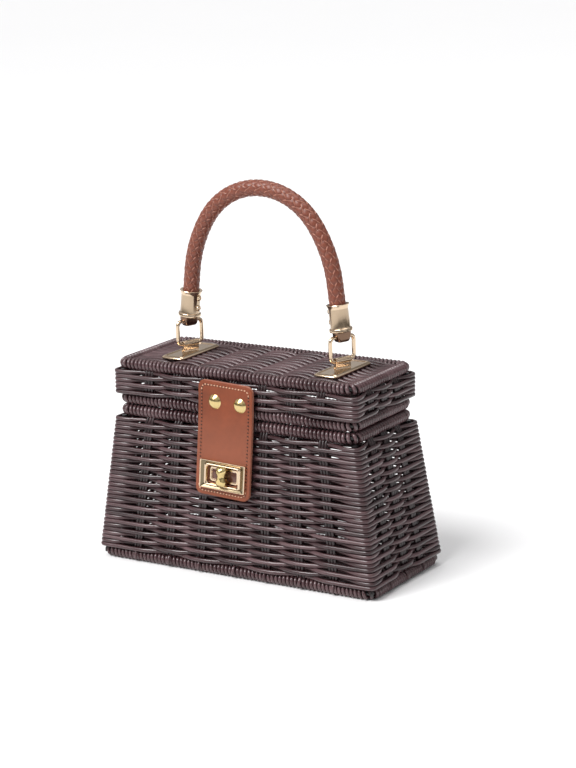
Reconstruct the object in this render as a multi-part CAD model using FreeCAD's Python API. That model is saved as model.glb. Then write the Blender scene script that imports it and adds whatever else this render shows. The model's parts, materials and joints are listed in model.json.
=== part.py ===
import FreeCAD, Part
import math
import os

# Small woven box bag: a tapered cane basket on a wire frame, a shallow cane lid that hinges
# on the basket's back rim, a leather closing tab with a turn lock, and a braided leather
# handle that swings on two wire rings.
# Millimetres. +Z is up, the front faces -Y, and the origin is the middle of the underside.

os.makedirs("parts", exist_ok=True)

V = FreeCAD.Vector
X_AXIS = V(1, 0, 0)
Y_AXIS = V(0, 1, 0)
Z_AXIS = V(0, 0, 1)

# ---- Basket ----
base_width = 207.0        # centre line of the base rim, along X
base_depth = 83.5         # and along Y
mouth_width = 178.0       # centre line of the mouth rim and of both lid rims
mouth_depth = 69.5
body_height = 99.5        # base rim to mouth rim, centre to centre
rim_inner_corner = 0.6    # corner radius of every rim, measured inside it
wire_radius = 1.5         # frame wire inside each rim
strand = 2.5              # diameter of the cane strand
post_radius = 1.6         # upright frame wires at the corners
weave_bulge = 2.2         # middle of the woven wall, outside the rims' centre line
weave_thickness = 7.6     # a stake with a strand on each side
edge_bevel = 3.0          # rounded shoulder of the wall's last rows
floor_thickness = 6.0

# ---- Lid ----
lid_height = 23.7         # lower lid rim to upper lid rim, centre to centre
lid_panel_thickness = 6.0
hinge_loop_spread = 104.0 # between the two hinge loops
hinge_loop_width = 9.0
hinge_loop_skin = 1.6
lid_opens_deg = 100.0

# ---- Leather tab and its rivets ----
tab_x = -2.3              # the tab sits a little left of the middle
tab_lean_deg = 2.5        # and leans a little
tab_width = 42.0
tab_drop = 77.0           # height of the tab, top edge to bottom edge
tab_thickness = 2.5
tab_corner = 5.0
tab_below_lid_top = 7.0
rivet_radius = 4.9
rivet_dome = 2.4
rivet_spacing = 19.5
rivet_offset = 1.6        # the rivets sit a little right of the tab's middle
rivet_below_tab_top = 13.8
rivet_shank = 1.5
rivet_cap_radius = 2.5
rivet_cap_thickness = 1.2

# ---- Turn lock ----
lock_below_tab_top = 62.5
lock_offset = 0.6         # and so does the lock
lock_width = 35.0
lock_height = 19.0
lock_plate = 1.5
lock_rim_width = 2.6
lock_rim_height = 0.9
lock_corner = 0.5
window_width = 24.4
window_height = 12.2
window_corner = 2.0
backing_frame = 0.6       # thin frame let into the back of the leather
backing_frame_width = 2.5
lock_base_plate = 1.2
lock_base_sunk = 0.9      # the base plate beds into the strands
lock_base_width = 32.0
lock_base_height = 17.0
pedestal_margin = 1.1     # round the pedestal, inside the window
pedestal_height = 2.2
toggle_length = 13.8
toggle_width = 8.5
toggle_thickness = 4.3
toggle_bevel = 1.2
toggle_post = 2.5
toggle_washer_radius = 4.0
toggle_washer = 1.0
lock_screw_radius = 1.0
lock_screw_spacing = 26.0
lock_screw_head = 2.0
lock_screw_head_height = 0.8
lock_backing_thickness = 1.0

# ---- Handle ----
handle_x = 4.3            # the handle sits a little right of the middle
handle_y = -4.0
handle_radius = 5.6
handle_core_radius = 2.8
handle_top_radius = 50.0      # bend across the top
handle_shoulder_deg = 56.0    # where the top bend turns into the side bend
handle_side_radius = 84.0     # bend down each side
leg_lean_deg = 7.0
leg_straight = 29.0           # straight leg, down to the bottom of the ferrule's socket
ferrule_wall = 0.85
ferrule_length = 18.0
ferrule_floor = 2.0
ferrule_collar = 1.1          # how far the collar and the flared mouth stand out
ferrule_collar_height = 2.4
ferrule_mouth_height = 2.0
ferrule_screw_radius = 1.0
ferrule_screw_head = 2.0
ferrule_screw_head_height = 1.3
ferrule_screw_length = 3.0
ferrule_screw_heights = (5.5, 12.4)

# ---- Rings, lugs, tongues and base plates ----
ring_wire = 1.35
ring_width = 19.5         # centre line
ring_height = 15.5
ring_corner = 3.0
ring_yaw_deg = 20.0       # the rings stand turned a little out of line
lug_length = 11.0
lug_thickness = 7.0
lug_above_bar = 3.4       # bar centre to the ferrule's underside
tongue_length = 12.5
tongue_skin = 1.2
plate_width = 17.5
plate_length = 46.0
plate_thickness = 1.8
plate_corner = 2.5
plate_pocket = 0.6
plate_border = 2.4
bar_above_lid = 6.5       # lower bar centre above the lid's top
plate_screw_spacing = 33.0
plate_screw_radius = 1.5
plate_screw_head = 2.8
plate_screw_head_height = 1.2
plate_screw_bite = 1.0
backing_width = 11.0
backing_thickness = 1.0

# ---- Clearances ----
running = 0.05            # round a pivot or in a bearing
open_pivot = 0.3          # round the right lug's bar, where the linkage is left open
soft = 0.3                # between soft pieces on different bodies
seat = 0.05               # between pieces of one body that lie against each other
notch_side_gap = 0.8      # between a hinge loop and the weave beside it
overshoot = 1.0           # how far a cutting shape runs past the face it cuts

# ---- Worked out ----
rim_radius = wire_radius + strand
rim_corner = rim_radius + rim_inner_corner
base_rim_z = rim_radius
mouth_rim_z = base_rim_z + body_height
lid_rim_z = mouth_rim_z + 2 * rim_radius + soft
lid_top_rim_z = lid_rim_z + lid_height
lid_top_z = lid_top_rim_z + rim_radius
weave_outer = weave_bulge + weave_thickness / 2
weave_inner = weave_bulge - weave_thickness / 2
flare = (base_depth - mouth_depth) / 2 / body_height
wall_bottom_z = base_rim_z + rim_radius + seat
wall_top_z = mouth_rim_z - rim_radius - seat
lid_wall_bottom_z = lid_rim_z + rim_radius + seat
lid_wall_top_z = lid_top_rim_z - rim_radius - seat
lid_panel_bottom_z = lid_top_z - lid_panel_thickness


def rounded_wire(width, depth, radius, z=0.0):
    """A closed rectangle with round corners, flat in XY at height z."""
    hx = width / 2
    hy = depth / 2
    edges = []
    corners = ((1, -1, -90), (1, 1, 0), (-1, 1, 90), (-1, -1, 180))
    ends = []
    for sx, sy, start in corners:
        centre = V(sx * (hx - radius), sy * (hy - radius), z)
        at = [math.radians(start + turn) for turn in (0, 45, 90)]
        points = [centre + V(radius * math.cos(a), radius * math.sin(a), 0) for a in at]
        edges.append(Part.Arc(*points).toShape())
        ends.append((points[0], points[2]))
    for k in range(4):
        edges.append(Part.LineSegment(ends[k][1], ends[(k + 1) % 4][0]).toShape())
    return Part.Wire(Part.__sortEdges__(edges))


def rounded_block(width, depth, radius, z0, z1):
    """A plate with round corners between two heights."""
    face = Part.Face(rounded_wire(width, depth, radius, z0))
    return face.extrude(V(0, 0, z1 - z0))


def ring_rod(width, depth, radius, section):
    """A rod of round section along a rounded rectangle in XY."""
    path = rounded_wire(width, depth, radius)
    start = V(0, -depth / 2, 0)
    profile = Part.Wire(Part.makeCircle(section, start, X_AXIS))
    return path.makePipeShell([profile], True, True)


def at_height(shape, z):
    moved = shape.copy()
    moved.translate(V(0, 0, z))
    return moved


def placed(shape, placement):
    """A copy moved, as it stands, into the frame that the placement gives."""
    moved = shape.copy()
    moved.Placement = placement.multiply(shape.Placement)
    return moved


def wall_size(z):
    """Width and depth of the basket's rims' centre line at height z."""
    share = (mouth_rim_z - z) / body_height
    width = mouth_width + (base_width - mouth_width) * share
    depth = mouth_depth + (base_depth - mouth_depth) * share
    return width, depth


def wall_section(size, offset, z):
    """The rims' centre line moved outwards by offset, at height z."""
    width, depth = size
    return rounded_wire(width + 2 * offset, depth + 2 * offset, rim_corner + offset, z)


def woven_wall(sizes, z0, z1):
    """A woven wall between two heights, its last outer rows rounded off."""
    z2 = z1 - edge_bevel
    outer = [
        wall_section(sizes(z0), weave_outer, z0),
        wall_section(sizes(z2), weave_outer, z2),
        wall_section(sizes(z1), weave_outer - edge_bevel, z1),
    ]
    inner = [wall_section(sizes(z), weave_inner, z) for z in (z0 - overshoot, z1 + overshoot)]
    return Part.makeLoft(outer, True, True).cut(Part.makeLoft(inner, True, True))


def rim(width, depth, z):
    """A rim's frame wire, and the strand wound round it."""
    wire = ring_rod(width, depth, rim_corner, wire_radius)
    wrap = ring_rod(width, depth, rim_corner, rim_radius).cut(wire)
    return at_height(wire, z), at_height(wrap, z)


def corner_points(width, depth, z):
    """Where the corner posts cross height z, on the middle of the woven wall."""
    inset = rim_corner * (1 - math.sqrt(0.5)) - weave_bulge * math.sqrt(0.5)
    hx = width / 2 - inset
    hy = depth / 2 - inset
    return [V(sx * hx, sy * hy, z) for sx in (-1, 1) for sy in (-1, 1)]


def posts(sizes, z0, z1, radius):
    """Four rods in the corners of a woven wall, leaning with it and cut level at both ends."""
    level = Part.makeBox(2 * base_width, 2 * base_depth, z1 - z0, V(-base_width, -base_depth, z0))
    rods = []
    ends = zip(corner_points(*sizes(z0), z0), corner_points(*sizes(z1), z1))
    for low, high in ends:
        spare = (high - low) * (radius / (z1 - z0))
        run = high - low + spare * 2
        rods.append(Part.makeCylinder(radius, run.Length, low - spare, run).common(level))
    return rods


def save(node, *shapes):
    shape = shapes[0] if len(shapes) == 1 else Part.makeCompound(list(shapes))
    if not shape.isValid():
        raise ValueError(node + " is not a valid shape")
    shape.exportStep("parts/" + node + ".step")


# ---- Places on the front of the basket and lid ----

def face_y(z):
    """Outer face of the woven front wall of the basket at height z."""
    return -(wall_size(z)[1] / 2 + weave_outer)


lid_face_y = -(mouth_depth / 2 + weave_outer)
tab_top_z = lid_top_z - tab_below_lid_top
tab_bottom_z = tab_top_z - tab_drop
rivet_z = tab_top_z - rivet_below_tab_top
lock_z = tab_top_z - lock_below_tab_top
lock_base_front = lock_base_plate - lock_base_sunk
tab_stand_off = lock_base_front + soft
slope_long = math.hypot(1, flare)
lock_up = V(0, flare / slope_long, 1 / slope_long)
lock_out = V(0, -1 / slope_long, flare / slope_long)
lock_turn = FreeCAD.Rotation(X_AXIS, lock_up, lock_out)
lean_centre = V(tab_x, 0, rivet_z)


def lean(shape):
    leaned = shape.copy()
    leaned.rotate(lean_centre, Y_AXIS, tab_lean_deg)
    return leaned


def on_lock(shape):
    """From the lock's own frame (right, up the wall, outwards) to the bag's."""
    return lean(placed(shape, FreeCAD.Placement(V(tab_x + lock_offset, face_y(lock_z), lock_z), lock_turn)))


def through_front(radius, x, z, inner_y, outer_y):
    """A rod from outer_y to inner_y, square to the lid's front wall."""
    rod = Part.makeCylinder(radius, inner_y - outer_y, V(x, outer_y, z), Y_AXIS)
    return lean(rod)


# ---- Handle geometry ----

shoulder = math.radians(handle_shoulder_deg)
leg_turn = math.radians(90 - leg_lean_deg)
bar_z = lid_top_z + bar_above_lid
top_bar_z = bar_z + ring_height
ferrule_foot_z = top_bar_z + lug_above_bar
shoulder_x = handle_top_radius * math.sin(shoulder)
side_centre_x = shoulder_x - handle_side_radius * math.sin(shoulder)
leg_top_x = side_centre_x + handle_side_radius * math.sin(leg_turn)
leg_down = V(math.sin(math.radians(leg_lean_deg)), 0, -math.cos(math.radians(leg_lean_deg)))
leg_foot_x = leg_top_x + leg_down.x * leg_straight
ferrule_foot_x = leg_foot_x + leg_down.x * ferrule_floor
ring_x = ferrule_foot_x + leg_down.x * lug_above_bar
leg_foot_z = ferrule_foot_z - leg_down.z * ferrule_floor
leg_top_z = leg_foot_z - leg_down.z * leg_straight
side_centre_z = leg_top_z - handle_side_radius * math.cos(leg_turn)
shoulder_z = side_centre_z + handle_side_radius * math.cos(shoulder)
top_centre_z = shoulder_z - handle_top_radius * math.cos(shoulder)


def handle_point(cx, cz, radius, angle):
    return V(cx + radius * math.sin(angle), 0, cz + radius * math.cos(angle))


def handle_path():
    """The handle's centre line, foot to foot, about its own middle."""
    foot = V(leg_foot_x, 0, leg_foot_z)
    leg_top = V(leg_top_x, 0, leg_top_z)
    side = handle_point(side_centre_x, side_centre_z, handle_side_radius, (shoulder + leg_turn) / 2)
    bend = handle_point(0, top_centre_z, handle_top_radius, shoulder)
    top = handle_point(0, top_centre_z, handle_top_radius, 0)

    def left(p):
        return V(-p.x, p.y, p.z)

    edges = [
        Part.LineSegment(left(foot), left(leg_top)).toShape(),
        Part.Arc(left(leg_top), left(side), left(bend)).toShape(),
        Part.Arc(left(bend), top, bend).toShape(),
        Part.Arc(bend, side, leg_top).toShape(),
        Part.LineSegment(leg_top, foot).toShape(),
    ]
    return Part.Wire(edges)


def handle_rod(radius):
    foot = V(-leg_foot_x, 0, leg_foot_z)
    profile = Part.Wire(Part.makeCircle(radius, foot, V(leg_down.x, 0, -leg_down.z)))
    rod = handle_path().makePipeShell([profile], True, False)
    rod.translate(V(handle_x, handle_y, 0))
    return rod


def ferrule_frame(side):
    """Placement of a ferrule: its own +Z runs up the leg from its foot."""
    up = V(-side * leg_down.x, 0, -leg_down.z)
    foot = V(handle_x + side * ferrule_foot_x, handle_y, ferrule_foot_z)
    return FreeCAD.Placement(foot, FreeCAD.Rotation(Z_AXIS, up))


def ferrule_profile(radius_in):
    """Half section: collar at the foot, straight barrel, flared mouth."""
    r = handle_radius + seat + ferrule_wall
    flared = r + ferrule_collar
    mouth = ferrule_length - ferrule_mouth_height
    corners = [
        V(0, 0, 0), V(flared, 0, 0), V(flared, 0, ferrule_collar_height),
        V(r, 0, ferrule_collar_height), V(r, 0, mouth), V(flared, 0, ferrule_length),
        V(radius_in, 0, ferrule_length), V(radius_in, 0, ferrule_floor), V(0, 0, ferrule_floor),
    ]
    return Part.Face(Part.makePolygon(corners + corners[:1]))


def screw(radius, length, head, head_height):
    """A round-headed screw along +Z: the shank below zero, the head above."""
    shank = Part.makeCylinder(radius, length, V(0, 0, -length))
    return shank.fuse(Part.makeCylinder(head, head_height)).removeSplitter()


def ring_frame(side, z):
    """Own X along the ring's bar, own Y upwards, at the middle of a bar at height z."""
    yaw = math.radians(ring_yaw_deg)
    bar = V(math.sin(yaw), math.cos(yaw), 0)
    spot = V(handle_x + side * ring_x, handle_y, z)
    return FreeCAD.Placement(spot, FreeCAD.Rotation(bar, Z_AXIS, bar.cross(Z_AXIS)))


def bar_block(length, thickness, below, above, bore):
    """A block round a ring's bar with a round lower or upper end and a bore for the bar."""
    round_part = Part.makeCylinder(thickness / 2, length, V(-length / 2, 0, 0), X_AXIS)
    low = -below
    block = Part.makeBox(length, above - low, thickness, V(-length / 2, low, -thickness / 2))
    hole_start = V(-length / 2 - overshoot, 0, 0)
    hole = Part.makeCylinder(bore, length + 2 * overshoot, hole_start, X_AXIS)
    return round_part.fuse(block).removeSplitter().cut(hole)


# ---- Basket: frame, weave, floor ----

base_wire, base_wrap = rim(base_width, base_depth, base_rim_z)
save("base_rim_wire", base_wire)
save("base_rim_wrap", base_wrap)
mouth_wire, mouth_wrap = rim(mouth_width, mouth_depth, mouth_rim_z)
save("mouth_rim_wire", mouth_wire)
save("mouth_rim_wrap", mouth_wrap)

body_wall = woven_wall(wall_size, wall_bottom_z, wall_top_z)
body_posts = posts(wall_size, wall_bottom_z, wall_top_z, post_radius)
save("corner_posts", *body_posts)

# The hinge loops turn round the mouth rim, in notches of the woven wall.
loop_outer = rim_radius + 2 * running + hinge_loop_skin
loop_reach = loop_outer + 2 * rim_radius + soft
loop_dip = -(lid_rim_z - mouth_rim_z) * math.cos(math.radians(lid_opens_deg))
notch_depth = loop_outer + max(0, loop_dip) + 2 * soft
notch_width = hinge_loop_width + 2 * notch_side_gap
back_rim_y = mouth_depth / 2


def hinge_notch(side, z0, z1):
    x = side * hinge_loop_spread / 2 - notch_width / 2
    depth = 2 * loop_reach
    return Part.makeBox(notch_width, depth, z1 - z0, V(x, back_rim_y - depth / 2, z0))


def hinge_loop(side):
    """A flat band of strands round the lid's lower rim and the basket's mouth rim."""
    def stadium(radius, width):
        x = side * hinge_loop_spread / 2 - width / 2
        gap = lid_rim_z - mouth_rim_z
        low = V(x, back_rim_y, mouth_rim_z)
        high = V(x, back_rim_y, lid_rim_z)
        middle = Part.makeBox(width, 2 * radius, gap, low - V(0, radius, 0))
        ends = [Part.makeCylinder(radius, width, p, X_AXIS) for p in (low, high)]
        return middle.multiFuse(ends).removeSplitter()

    band = stadium(loop_outer, hinge_loop_width)
    return band.cut(stadium(rim_radius + 2 * running, hinge_loop_width + 2 * overshoot))


for side in (-1, 1):
    body_wall = body_wall.cut(hinge_notch(side, mouth_rim_z - notch_depth, mouth_rim_z))
body_wall = body_wall.cut(Part.makeCompound(body_posts))

base_bed = rounded_block(
    lock_base_width + 2 * seat, lock_base_height + 2 * seat, window_corner, -lock_base_sunk, overshoot
)
post_hole_depth = lock_base_sunk + toggle_washer + 2 * soft
washer_room = Part.makeCylinder(
    toggle_washer_radius + soft, post_hole_depth + overshoot, V(0, 0, -post_hole_depth)
)
lock_screw_x = [k * lock_screw_spacing / 2 for k in (-1, 1)]
wall_through = weave_thickness / math.cos(math.atan(flare))
screw_holes = [
    Part.makeCylinder(
        lock_screw_radius + seat, wall_through + 2 * overshoot, V(x, 0, -wall_through - overshoot)
    )
    for x in lock_screw_x
]
body_wall = body_wall.cut(on_lock(base_bed)).cut(on_lock(washer_room))
for hole in screw_holes:
    body_wall = body_wall.cut(on_lock(hole))
save("body_weave", body_wall)

floor_size = [size - 2 * (rim_radius + seat) for size in (base_width, base_depth)]
floor_corner = rim_inner_corner - seat
save("floor_weave", rounded_block(*floor_size, floor_corner, 0, floor_thickness))

# ---- Turn lock on the basket ----

pedestal_width = window_width - 2 * pedestal_margin
pedestal_depth = window_height - 2 * pedestal_margin
pedestal_top = lock_base_front + pedestal_height
pedestal = rounded_block(pedestal_width, pedestal_depth, window_corner, 0, pedestal_top)
bearing_depth = lock_base_sunk + overshoot
bearing = Part.makeCylinder(
    toggle_post + running, bearing_depth + pedestal_top + overshoot, V(0, 0, -bearing_depth)
)
lock_base = rounded_block(
    lock_base_width, lock_base_height, window_corner, -lock_base_sunk, lock_base_front
)
lock_base = lock_base.fuse(pedestal).removeSplitter().cut(bearing)
for hole in screw_holes:
    lock_base = lock_base.cut(at_height(hole, lock_base_front + seat))
save("lock_base", on_lock(lock_base))

inside_z = -wall_through - seat
backing = rounded_block(
    lock_base_width, lock_base_height, window_corner, inside_z - lock_backing_thickness, inside_z
)
for hole in screw_holes:
    backing = backing.cut(hole)
    backing = backing.cut(at_height(hole, -lock_backing_thickness - seat))
save("lock_backing", on_lock(backing))

lock_screws = []
for x in lock_screw_x:
    reach = -inside_z + lock_backing_thickness + lock_base_front
    one = screw(lock_screw_radius, reach, lock_screw_head, lock_screw_head_height)
    one.rotate(V(0, 0, 0), X_AXIS, 180)
    one.translate(V(x, 0, inside_z - lock_backing_thickness))
    lock_screws.append(on_lock(one))
save("lock_screws", *lock_screws)

window_front = tab_stand_off + tab_thickness + lock_plate
knob_back = window_front + soft
knob = rounded_block(
    toggle_width, toggle_length, toggle_width / 2 - seat, knob_back, knob_back + toggle_thickness
)
rim_edges = [e for e in knob.Edges if e.BoundBox.ZMin > knob_back + toggle_thickness - seat]
knob = knob.makeChamfer(toggle_bevel, rim_edges)
washer_back = -lock_base_sunk - toggle_washer - running
post = Part.makeCylinder(toggle_post, knob_back - washer_back, V(0, 0, washer_back))
save("lock_toggle", on_lock(knob.fuse(post).removeSplitter()))
washer = Part.makeCylinder(toggle_washer_radius, toggle_washer, V(0, 0, washer_back))
save("toggle_washer", on_lock(washer.cut(post)))

# ---- Lid: frame, weave, hinge loops ----

lid_wire, lid_wrap = rim(mouth_width, mouth_depth, lid_rim_z)
save("lid_rim_wire", lid_wire)
save("lid_rim_wrap", lid_wrap)
lid_top_wire, lid_top_wrap = rim(mouth_width, mouth_depth, lid_top_rim_z)
save("lid_top_rim_wire", lid_top_wire)
save("lid_top_rim_wrap", lid_top_wrap)


def lid_size(z):
    return mouth_width, mouth_depth


lid_wall = woven_wall(lid_size, lid_wall_bottom_z, lid_wall_top_z)
lid_posts = posts(lid_size, lid_wall_bottom_z, lid_wall_top_z, post_radius)
save("lid_corner_posts", *lid_posts)
lid_wall = lid_wall.cut(Part.makeCompound(lid_posts))
for side in (-1, 1):
    lid_wall = lid_wall.cut(hinge_notch(side, lid_rim_z, lid_rim_z + loop_outer + soft))
    save("hinge_loop_" + ("left" if side < 0 else "right"), hinge_loop(side))

lid_inner_y = -(mouth_depth / 2 + weave_inner)
rivet_x = [tab_x + rivet_offset + k * rivet_spacing / 2 for k in (-1, 1)]
tab_back_y = lid_face_y - soft
for x in rivet_x:
    inner_y = lid_inner_y + overshoot
    lid_wall = lid_wall.cut(through_front(rivet_shank + seat, x, rivet_z, inner_y, tab_back_y))
save("lid_side_weave", lid_wall)

panel_size = [size - 2 * (rim_radius + seat) for size in (mouth_width, mouth_depth)]
lid_panel = rounded_block(*panel_size, floor_corner, lid_panel_bottom_z, lid_top_z)

# ---- Leather tab, rivets and lock window ----

tab_front_y = tab_back_y - tab_thickness


def lower_back_y(z):
    return face_y(z) - tab_stand_off * slope_long


fold_z = mouth_rim_z + (-tab_back_y - mouth_depth / 2 - weave_outer - tab_stand_off * slope_long) / -flare
half_angle = math.atan(flare) / 2
fold_front_z = fold_z + tab_thickness * math.tan(half_angle)
lower_front_shift = tab_thickness * slope_long
tab_profile = Part.makePolygon([
    V(0, tab_back_y, tab_top_z),
    V(0, tab_back_y, fold_z),
    V(0, lower_back_y(tab_bottom_z), tab_bottom_z),
    V(0, lower_back_y(tab_bottom_z) - lower_front_shift, tab_bottom_z),
    V(0, tab_front_y, fold_front_z),
    V(0, tab_front_y, tab_top_z),
    V(0, tab_back_y, tab_top_z),
])
tab = Part.Face(tab_profile).extrude(V(tab_width, 0, 0))
tab.translate(V(tab_x - tab_width / 2, 0, 0))
outline = rounded_block(tab_width, tab_drop, tab_corner, 0, base_depth)
outline.rotate(V(0, 0, 0), X_AXIS, 90)
outline.translate(V(tab_x, 0, (tab_top_z + tab_bottom_z) / 2))
tab = lean(tab.common(outline))
leather_back = tab_stand_off
leather_front = tab_stand_off + tab_thickness
leather_window = rounded_block(
    window_width, window_height, window_corner, leather_back - overshoot, leather_front + overshoot
)
frame_width = window_width + 2 * backing_frame_width
frame_height = window_height + 2 * backing_frame_width
back_frame = rounded_block(
    frame_width, frame_height, window_corner, leather_back, leather_back + backing_frame
).cut(leather_window)
recess = rounded_block(
    frame_width, frame_height, window_corner, leather_back - overshoot, leather_back + backing_frame
)
tab = tab.cut(on_lock(leather_window)).cut(on_lock(recess))
save("lock_window_backing", on_lock(back_frame))

window_plate = rounded_block(lock_width, lock_height, lock_corner, leather_front, window_front)
raised = rounded_block(
    lock_width, lock_height, lock_corner, window_front, window_front + lock_rim_height
).cut(rounded_block(
    lock_width - 2 * lock_rim_width, lock_height - 2 * lock_rim_width, lock_corner,
    window_front - overshoot, window_front + lock_rim_height + overshoot,
))
window_plate = window_plate.fuse(raised).removeSplitter()
window_plate = window_plate.cut(rounded_block(
    window_width, window_height, window_corner, leather_front - overshoot, window_front + overshoot
))
save("lock_window_plate", on_lock(window_plate))

studs = []
caps = []
cap_y = lid_inner_y + seat
for x in rivet_x:
    ball = (rivet_radius ** 2 + rivet_dome ** 2) / (2 * rivet_dome)
    dome = Part.makeSphere(ball, V(x, tab_front_y - rivet_dome + ball, rivet_z))
    corner = V(x - ball, tab_front_y - rivet_dome, rivet_z - ball)
    cutter = Part.makeBox(2 * ball, rivet_dome, 2 * ball, corner)
    shank = Part.makeCylinder(
        rivet_shank, cap_y + rivet_cap_thickness - tab_front_y, V(x, tab_front_y, rivet_z), Y_AXIS
    )
    studs.append(lean(dome.common(cutter).fuse(shank).removeSplitter()))
    cap = Part.makeCylinder(rivet_cap_radius, rivet_cap_thickness, V(x, cap_y, rivet_z), Y_AXIS)
    caps.append(lean(cap.cut(shank)))
    tab = tab.cut(
        through_front(rivet_shank, x, rivet_z, tab_back_y + overshoot, tab_front_y - overshoot)
    )
save("tab_rivets", *studs)
save("tab_rivet_caps", *caps)
save("closure_tab", tab)

# ---- Ring plates, tongues and rings ----

backing_length = plate_screw_spacing + backing_width
plate_bore_spots = [V(0, k * plate_screw_spacing / 2, 0) for k in (-1, 1)]
for side in (-1, 1):
    name = "left" if side < 0 else "right"
    spot = V(handle_x + side * ring_x, handle_y, 0)
    plate = rounded_block(
        plate_width, plate_length, plate_corner, lid_top_z, lid_top_z + plate_thickness
    )
    pocket_z = lid_top_z + plate_thickness - plate_pocket
    plate = plate.cut(rounded_block(
        plate_width - 2 * plate_border, plate_length - 2 * plate_border, plate_corner / 2,
        pocket_z, pocket_z + overshoot,
    ))
    under = rounded_block(
        backing_width, backing_length, plate_corner,
        lid_panel_bottom_z - seat - backing_thickness, lid_panel_bottom_z - seat,
    )
    screws = []
    for hole in plate_bore_spots:
        head_z = lid_panel_bottom_z - seat - backing_thickness
        reach = lid_top_z + plate_screw_bite - head_z
        one = screw(plate_screw_radius, reach, plate_screw_head, plate_screw_head_height)
        one.rotate(V(0, 0, 0), X_AXIS, 180)
        one.translate(hole + V(0, 0, head_z))
        screws.append(one)
    for one in screws:
        plate = plate.cut(one)
        under = under.cut(one)
        one.translate(spot)
        lid_panel = lid_panel.cut(one)
    plate.translate(spot)
    under.translate(spot)
    save(name + "_ring_plate", plate)
    save(name + "_backing_plate", under)
    save(name + "_plate_screws", *screws)

    tongue = bar_block(
        tongue_length, 2 * (ring_wire + running + tongue_skin),
        bar_z - pocket_z, 0, ring_wire + running,
    )
    save(name + "_ring_tongue", placed(tongue, ring_frame(side, bar_z)))

    ring = ring_rod(ring_width, ring_height, ring_corner, ring_wire)
    ring.translate(V(0, ring_height / 2, 0))
    save(name + "_ring", placed(ring, ring_frame(side, bar_z)))
save("lid_top_weave", lid_panel)

# ---- Handle: core, braid, ferrules, lugs, screws ----

core = handle_rod(handle_core_radius)
braid = handle_rod(handle_radius).cut(core)
for side in (-1, 1):
    name = "left" if side < 0 else "right"
    frame = ferrule_frame(side)
    socket = handle_radius + seat
    ferrule = ferrule_profile(socket).revolve(V(0, 0, 0), Z_AXIS, 360)
    solid_foot = ferrule_profile(0).revolve(V(0, 0, 0), Z_AXIS, 360)
    screws = []
    for height in ferrule_screw_heights:
        one = screw(
            ferrule_screw_radius, ferrule_screw_length, ferrule_screw_head, ferrule_screw_head_height
        )
        one.rotate(V(0, 0, 0), Y_AXIS, -90 * side)
        one.translate(V(-side * (socket + ferrule_wall), 0, height))
        screws.append(one)
    for one in screws:
        ferrule = ferrule.cut(one)
    screws = [placed(one, frame) for one in screws]
    for one in screws:
        braid = braid.cut(one)
    save(name + "_ferrule", placed(ferrule, frame))
    save(name + "_ferrule_screws", *screws)

    bore = ring_wire + (running if side < 0 else open_pivot)
    lug = bar_block(
        lug_length, lug_thickness, 0, lug_above_bar + ferrule_collar_height, bore
    )
    lug = placed(lug, ring_frame(side, top_bar_z)).cut(placed(solid_foot, frame))
    save(name + "_lug", lug)
save("handle_core", core)
save("handle_braid", braid)
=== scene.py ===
import json
import math
import random
from contextlib import contextmanager

import bmesh
import bpy
from bpy.props import FloatProperty, FloatVectorProperty, IntProperty, PointerProperty
from bpy.types import Operator, Panel, PropertyGroup
from mathutils import Matrix, Vector


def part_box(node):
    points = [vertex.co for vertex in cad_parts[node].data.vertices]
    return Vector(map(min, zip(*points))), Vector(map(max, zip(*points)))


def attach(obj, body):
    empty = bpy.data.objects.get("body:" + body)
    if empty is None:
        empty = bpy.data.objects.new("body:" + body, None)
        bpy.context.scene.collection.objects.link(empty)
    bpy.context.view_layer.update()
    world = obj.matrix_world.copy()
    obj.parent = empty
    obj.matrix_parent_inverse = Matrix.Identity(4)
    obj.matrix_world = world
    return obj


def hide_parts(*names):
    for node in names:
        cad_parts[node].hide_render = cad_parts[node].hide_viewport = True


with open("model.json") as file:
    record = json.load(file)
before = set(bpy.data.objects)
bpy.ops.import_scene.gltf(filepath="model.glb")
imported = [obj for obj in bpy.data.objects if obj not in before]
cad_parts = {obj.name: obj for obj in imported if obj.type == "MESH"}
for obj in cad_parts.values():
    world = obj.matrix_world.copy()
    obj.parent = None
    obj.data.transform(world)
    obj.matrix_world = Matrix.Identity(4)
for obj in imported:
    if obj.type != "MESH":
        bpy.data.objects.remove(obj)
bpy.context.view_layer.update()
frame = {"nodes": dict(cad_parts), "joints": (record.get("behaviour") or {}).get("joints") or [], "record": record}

# A small woven cane box bag, in metres: wound rims, woven walls, lid and floor, a stitched
# leather tab with a turn lock, and a plaited leather handle on two wire rings.

bl_info = {
    "name": "Woven Box Bag",
    "version": (1, 0, 0),
    "blender": (4, 5, 0),
    "location": "View3D > Sidebar > Box Bag",
    "description": "Builds the cane, leather and metal of a woven box bag round its frame",
    "category": "Add Mesh",
}

X = Vector((1, 0, 0))
Y = Vector((0, 1, 0))
Z = Vector((0, 0, 1))
FULL_TURN = 2 * math.pi

# Weaving: steps along a row and round its corners, and the spacings that no setting gives.
ROW_STEP = 0.003
CORNER_STEPS = 6
STAKE_STEP = 0.012
STAKE_STRAY = 0.0002
PANEL_PITCH = 0.0029
HINGE_LOOPS = ("hinge_loop_left", "hinge_loop_right")

# Half sizes of the lock's window plate and of the window in it.
PLATE_X, PLATE_Y = 0.0175, 0.0095
WINDOW_X, WINDOW_Y = 0.0122, 0.0061


def size(default, name, description):
    return FloatProperty(
        name=name, description=description, default=default, min=0, unit="LENGTH", precision=5
    )


def angle(degrees, name, description):
    return FloatProperty(
        name=name, description=description, default=math.radians(degrees), unit="ROTATION"
    )


def count(default, name, description):
    return IntProperty(name=name, description=description, default=default, min=1)


def plain(default, name, description):
    return FloatProperty(name=name, description=description, default=default)


def colour(default, name, description):
    return FloatVectorProperty(
        name=name, description=description, default=default, subtype="COLOR", size=3, min=0, max=1
    )


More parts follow.
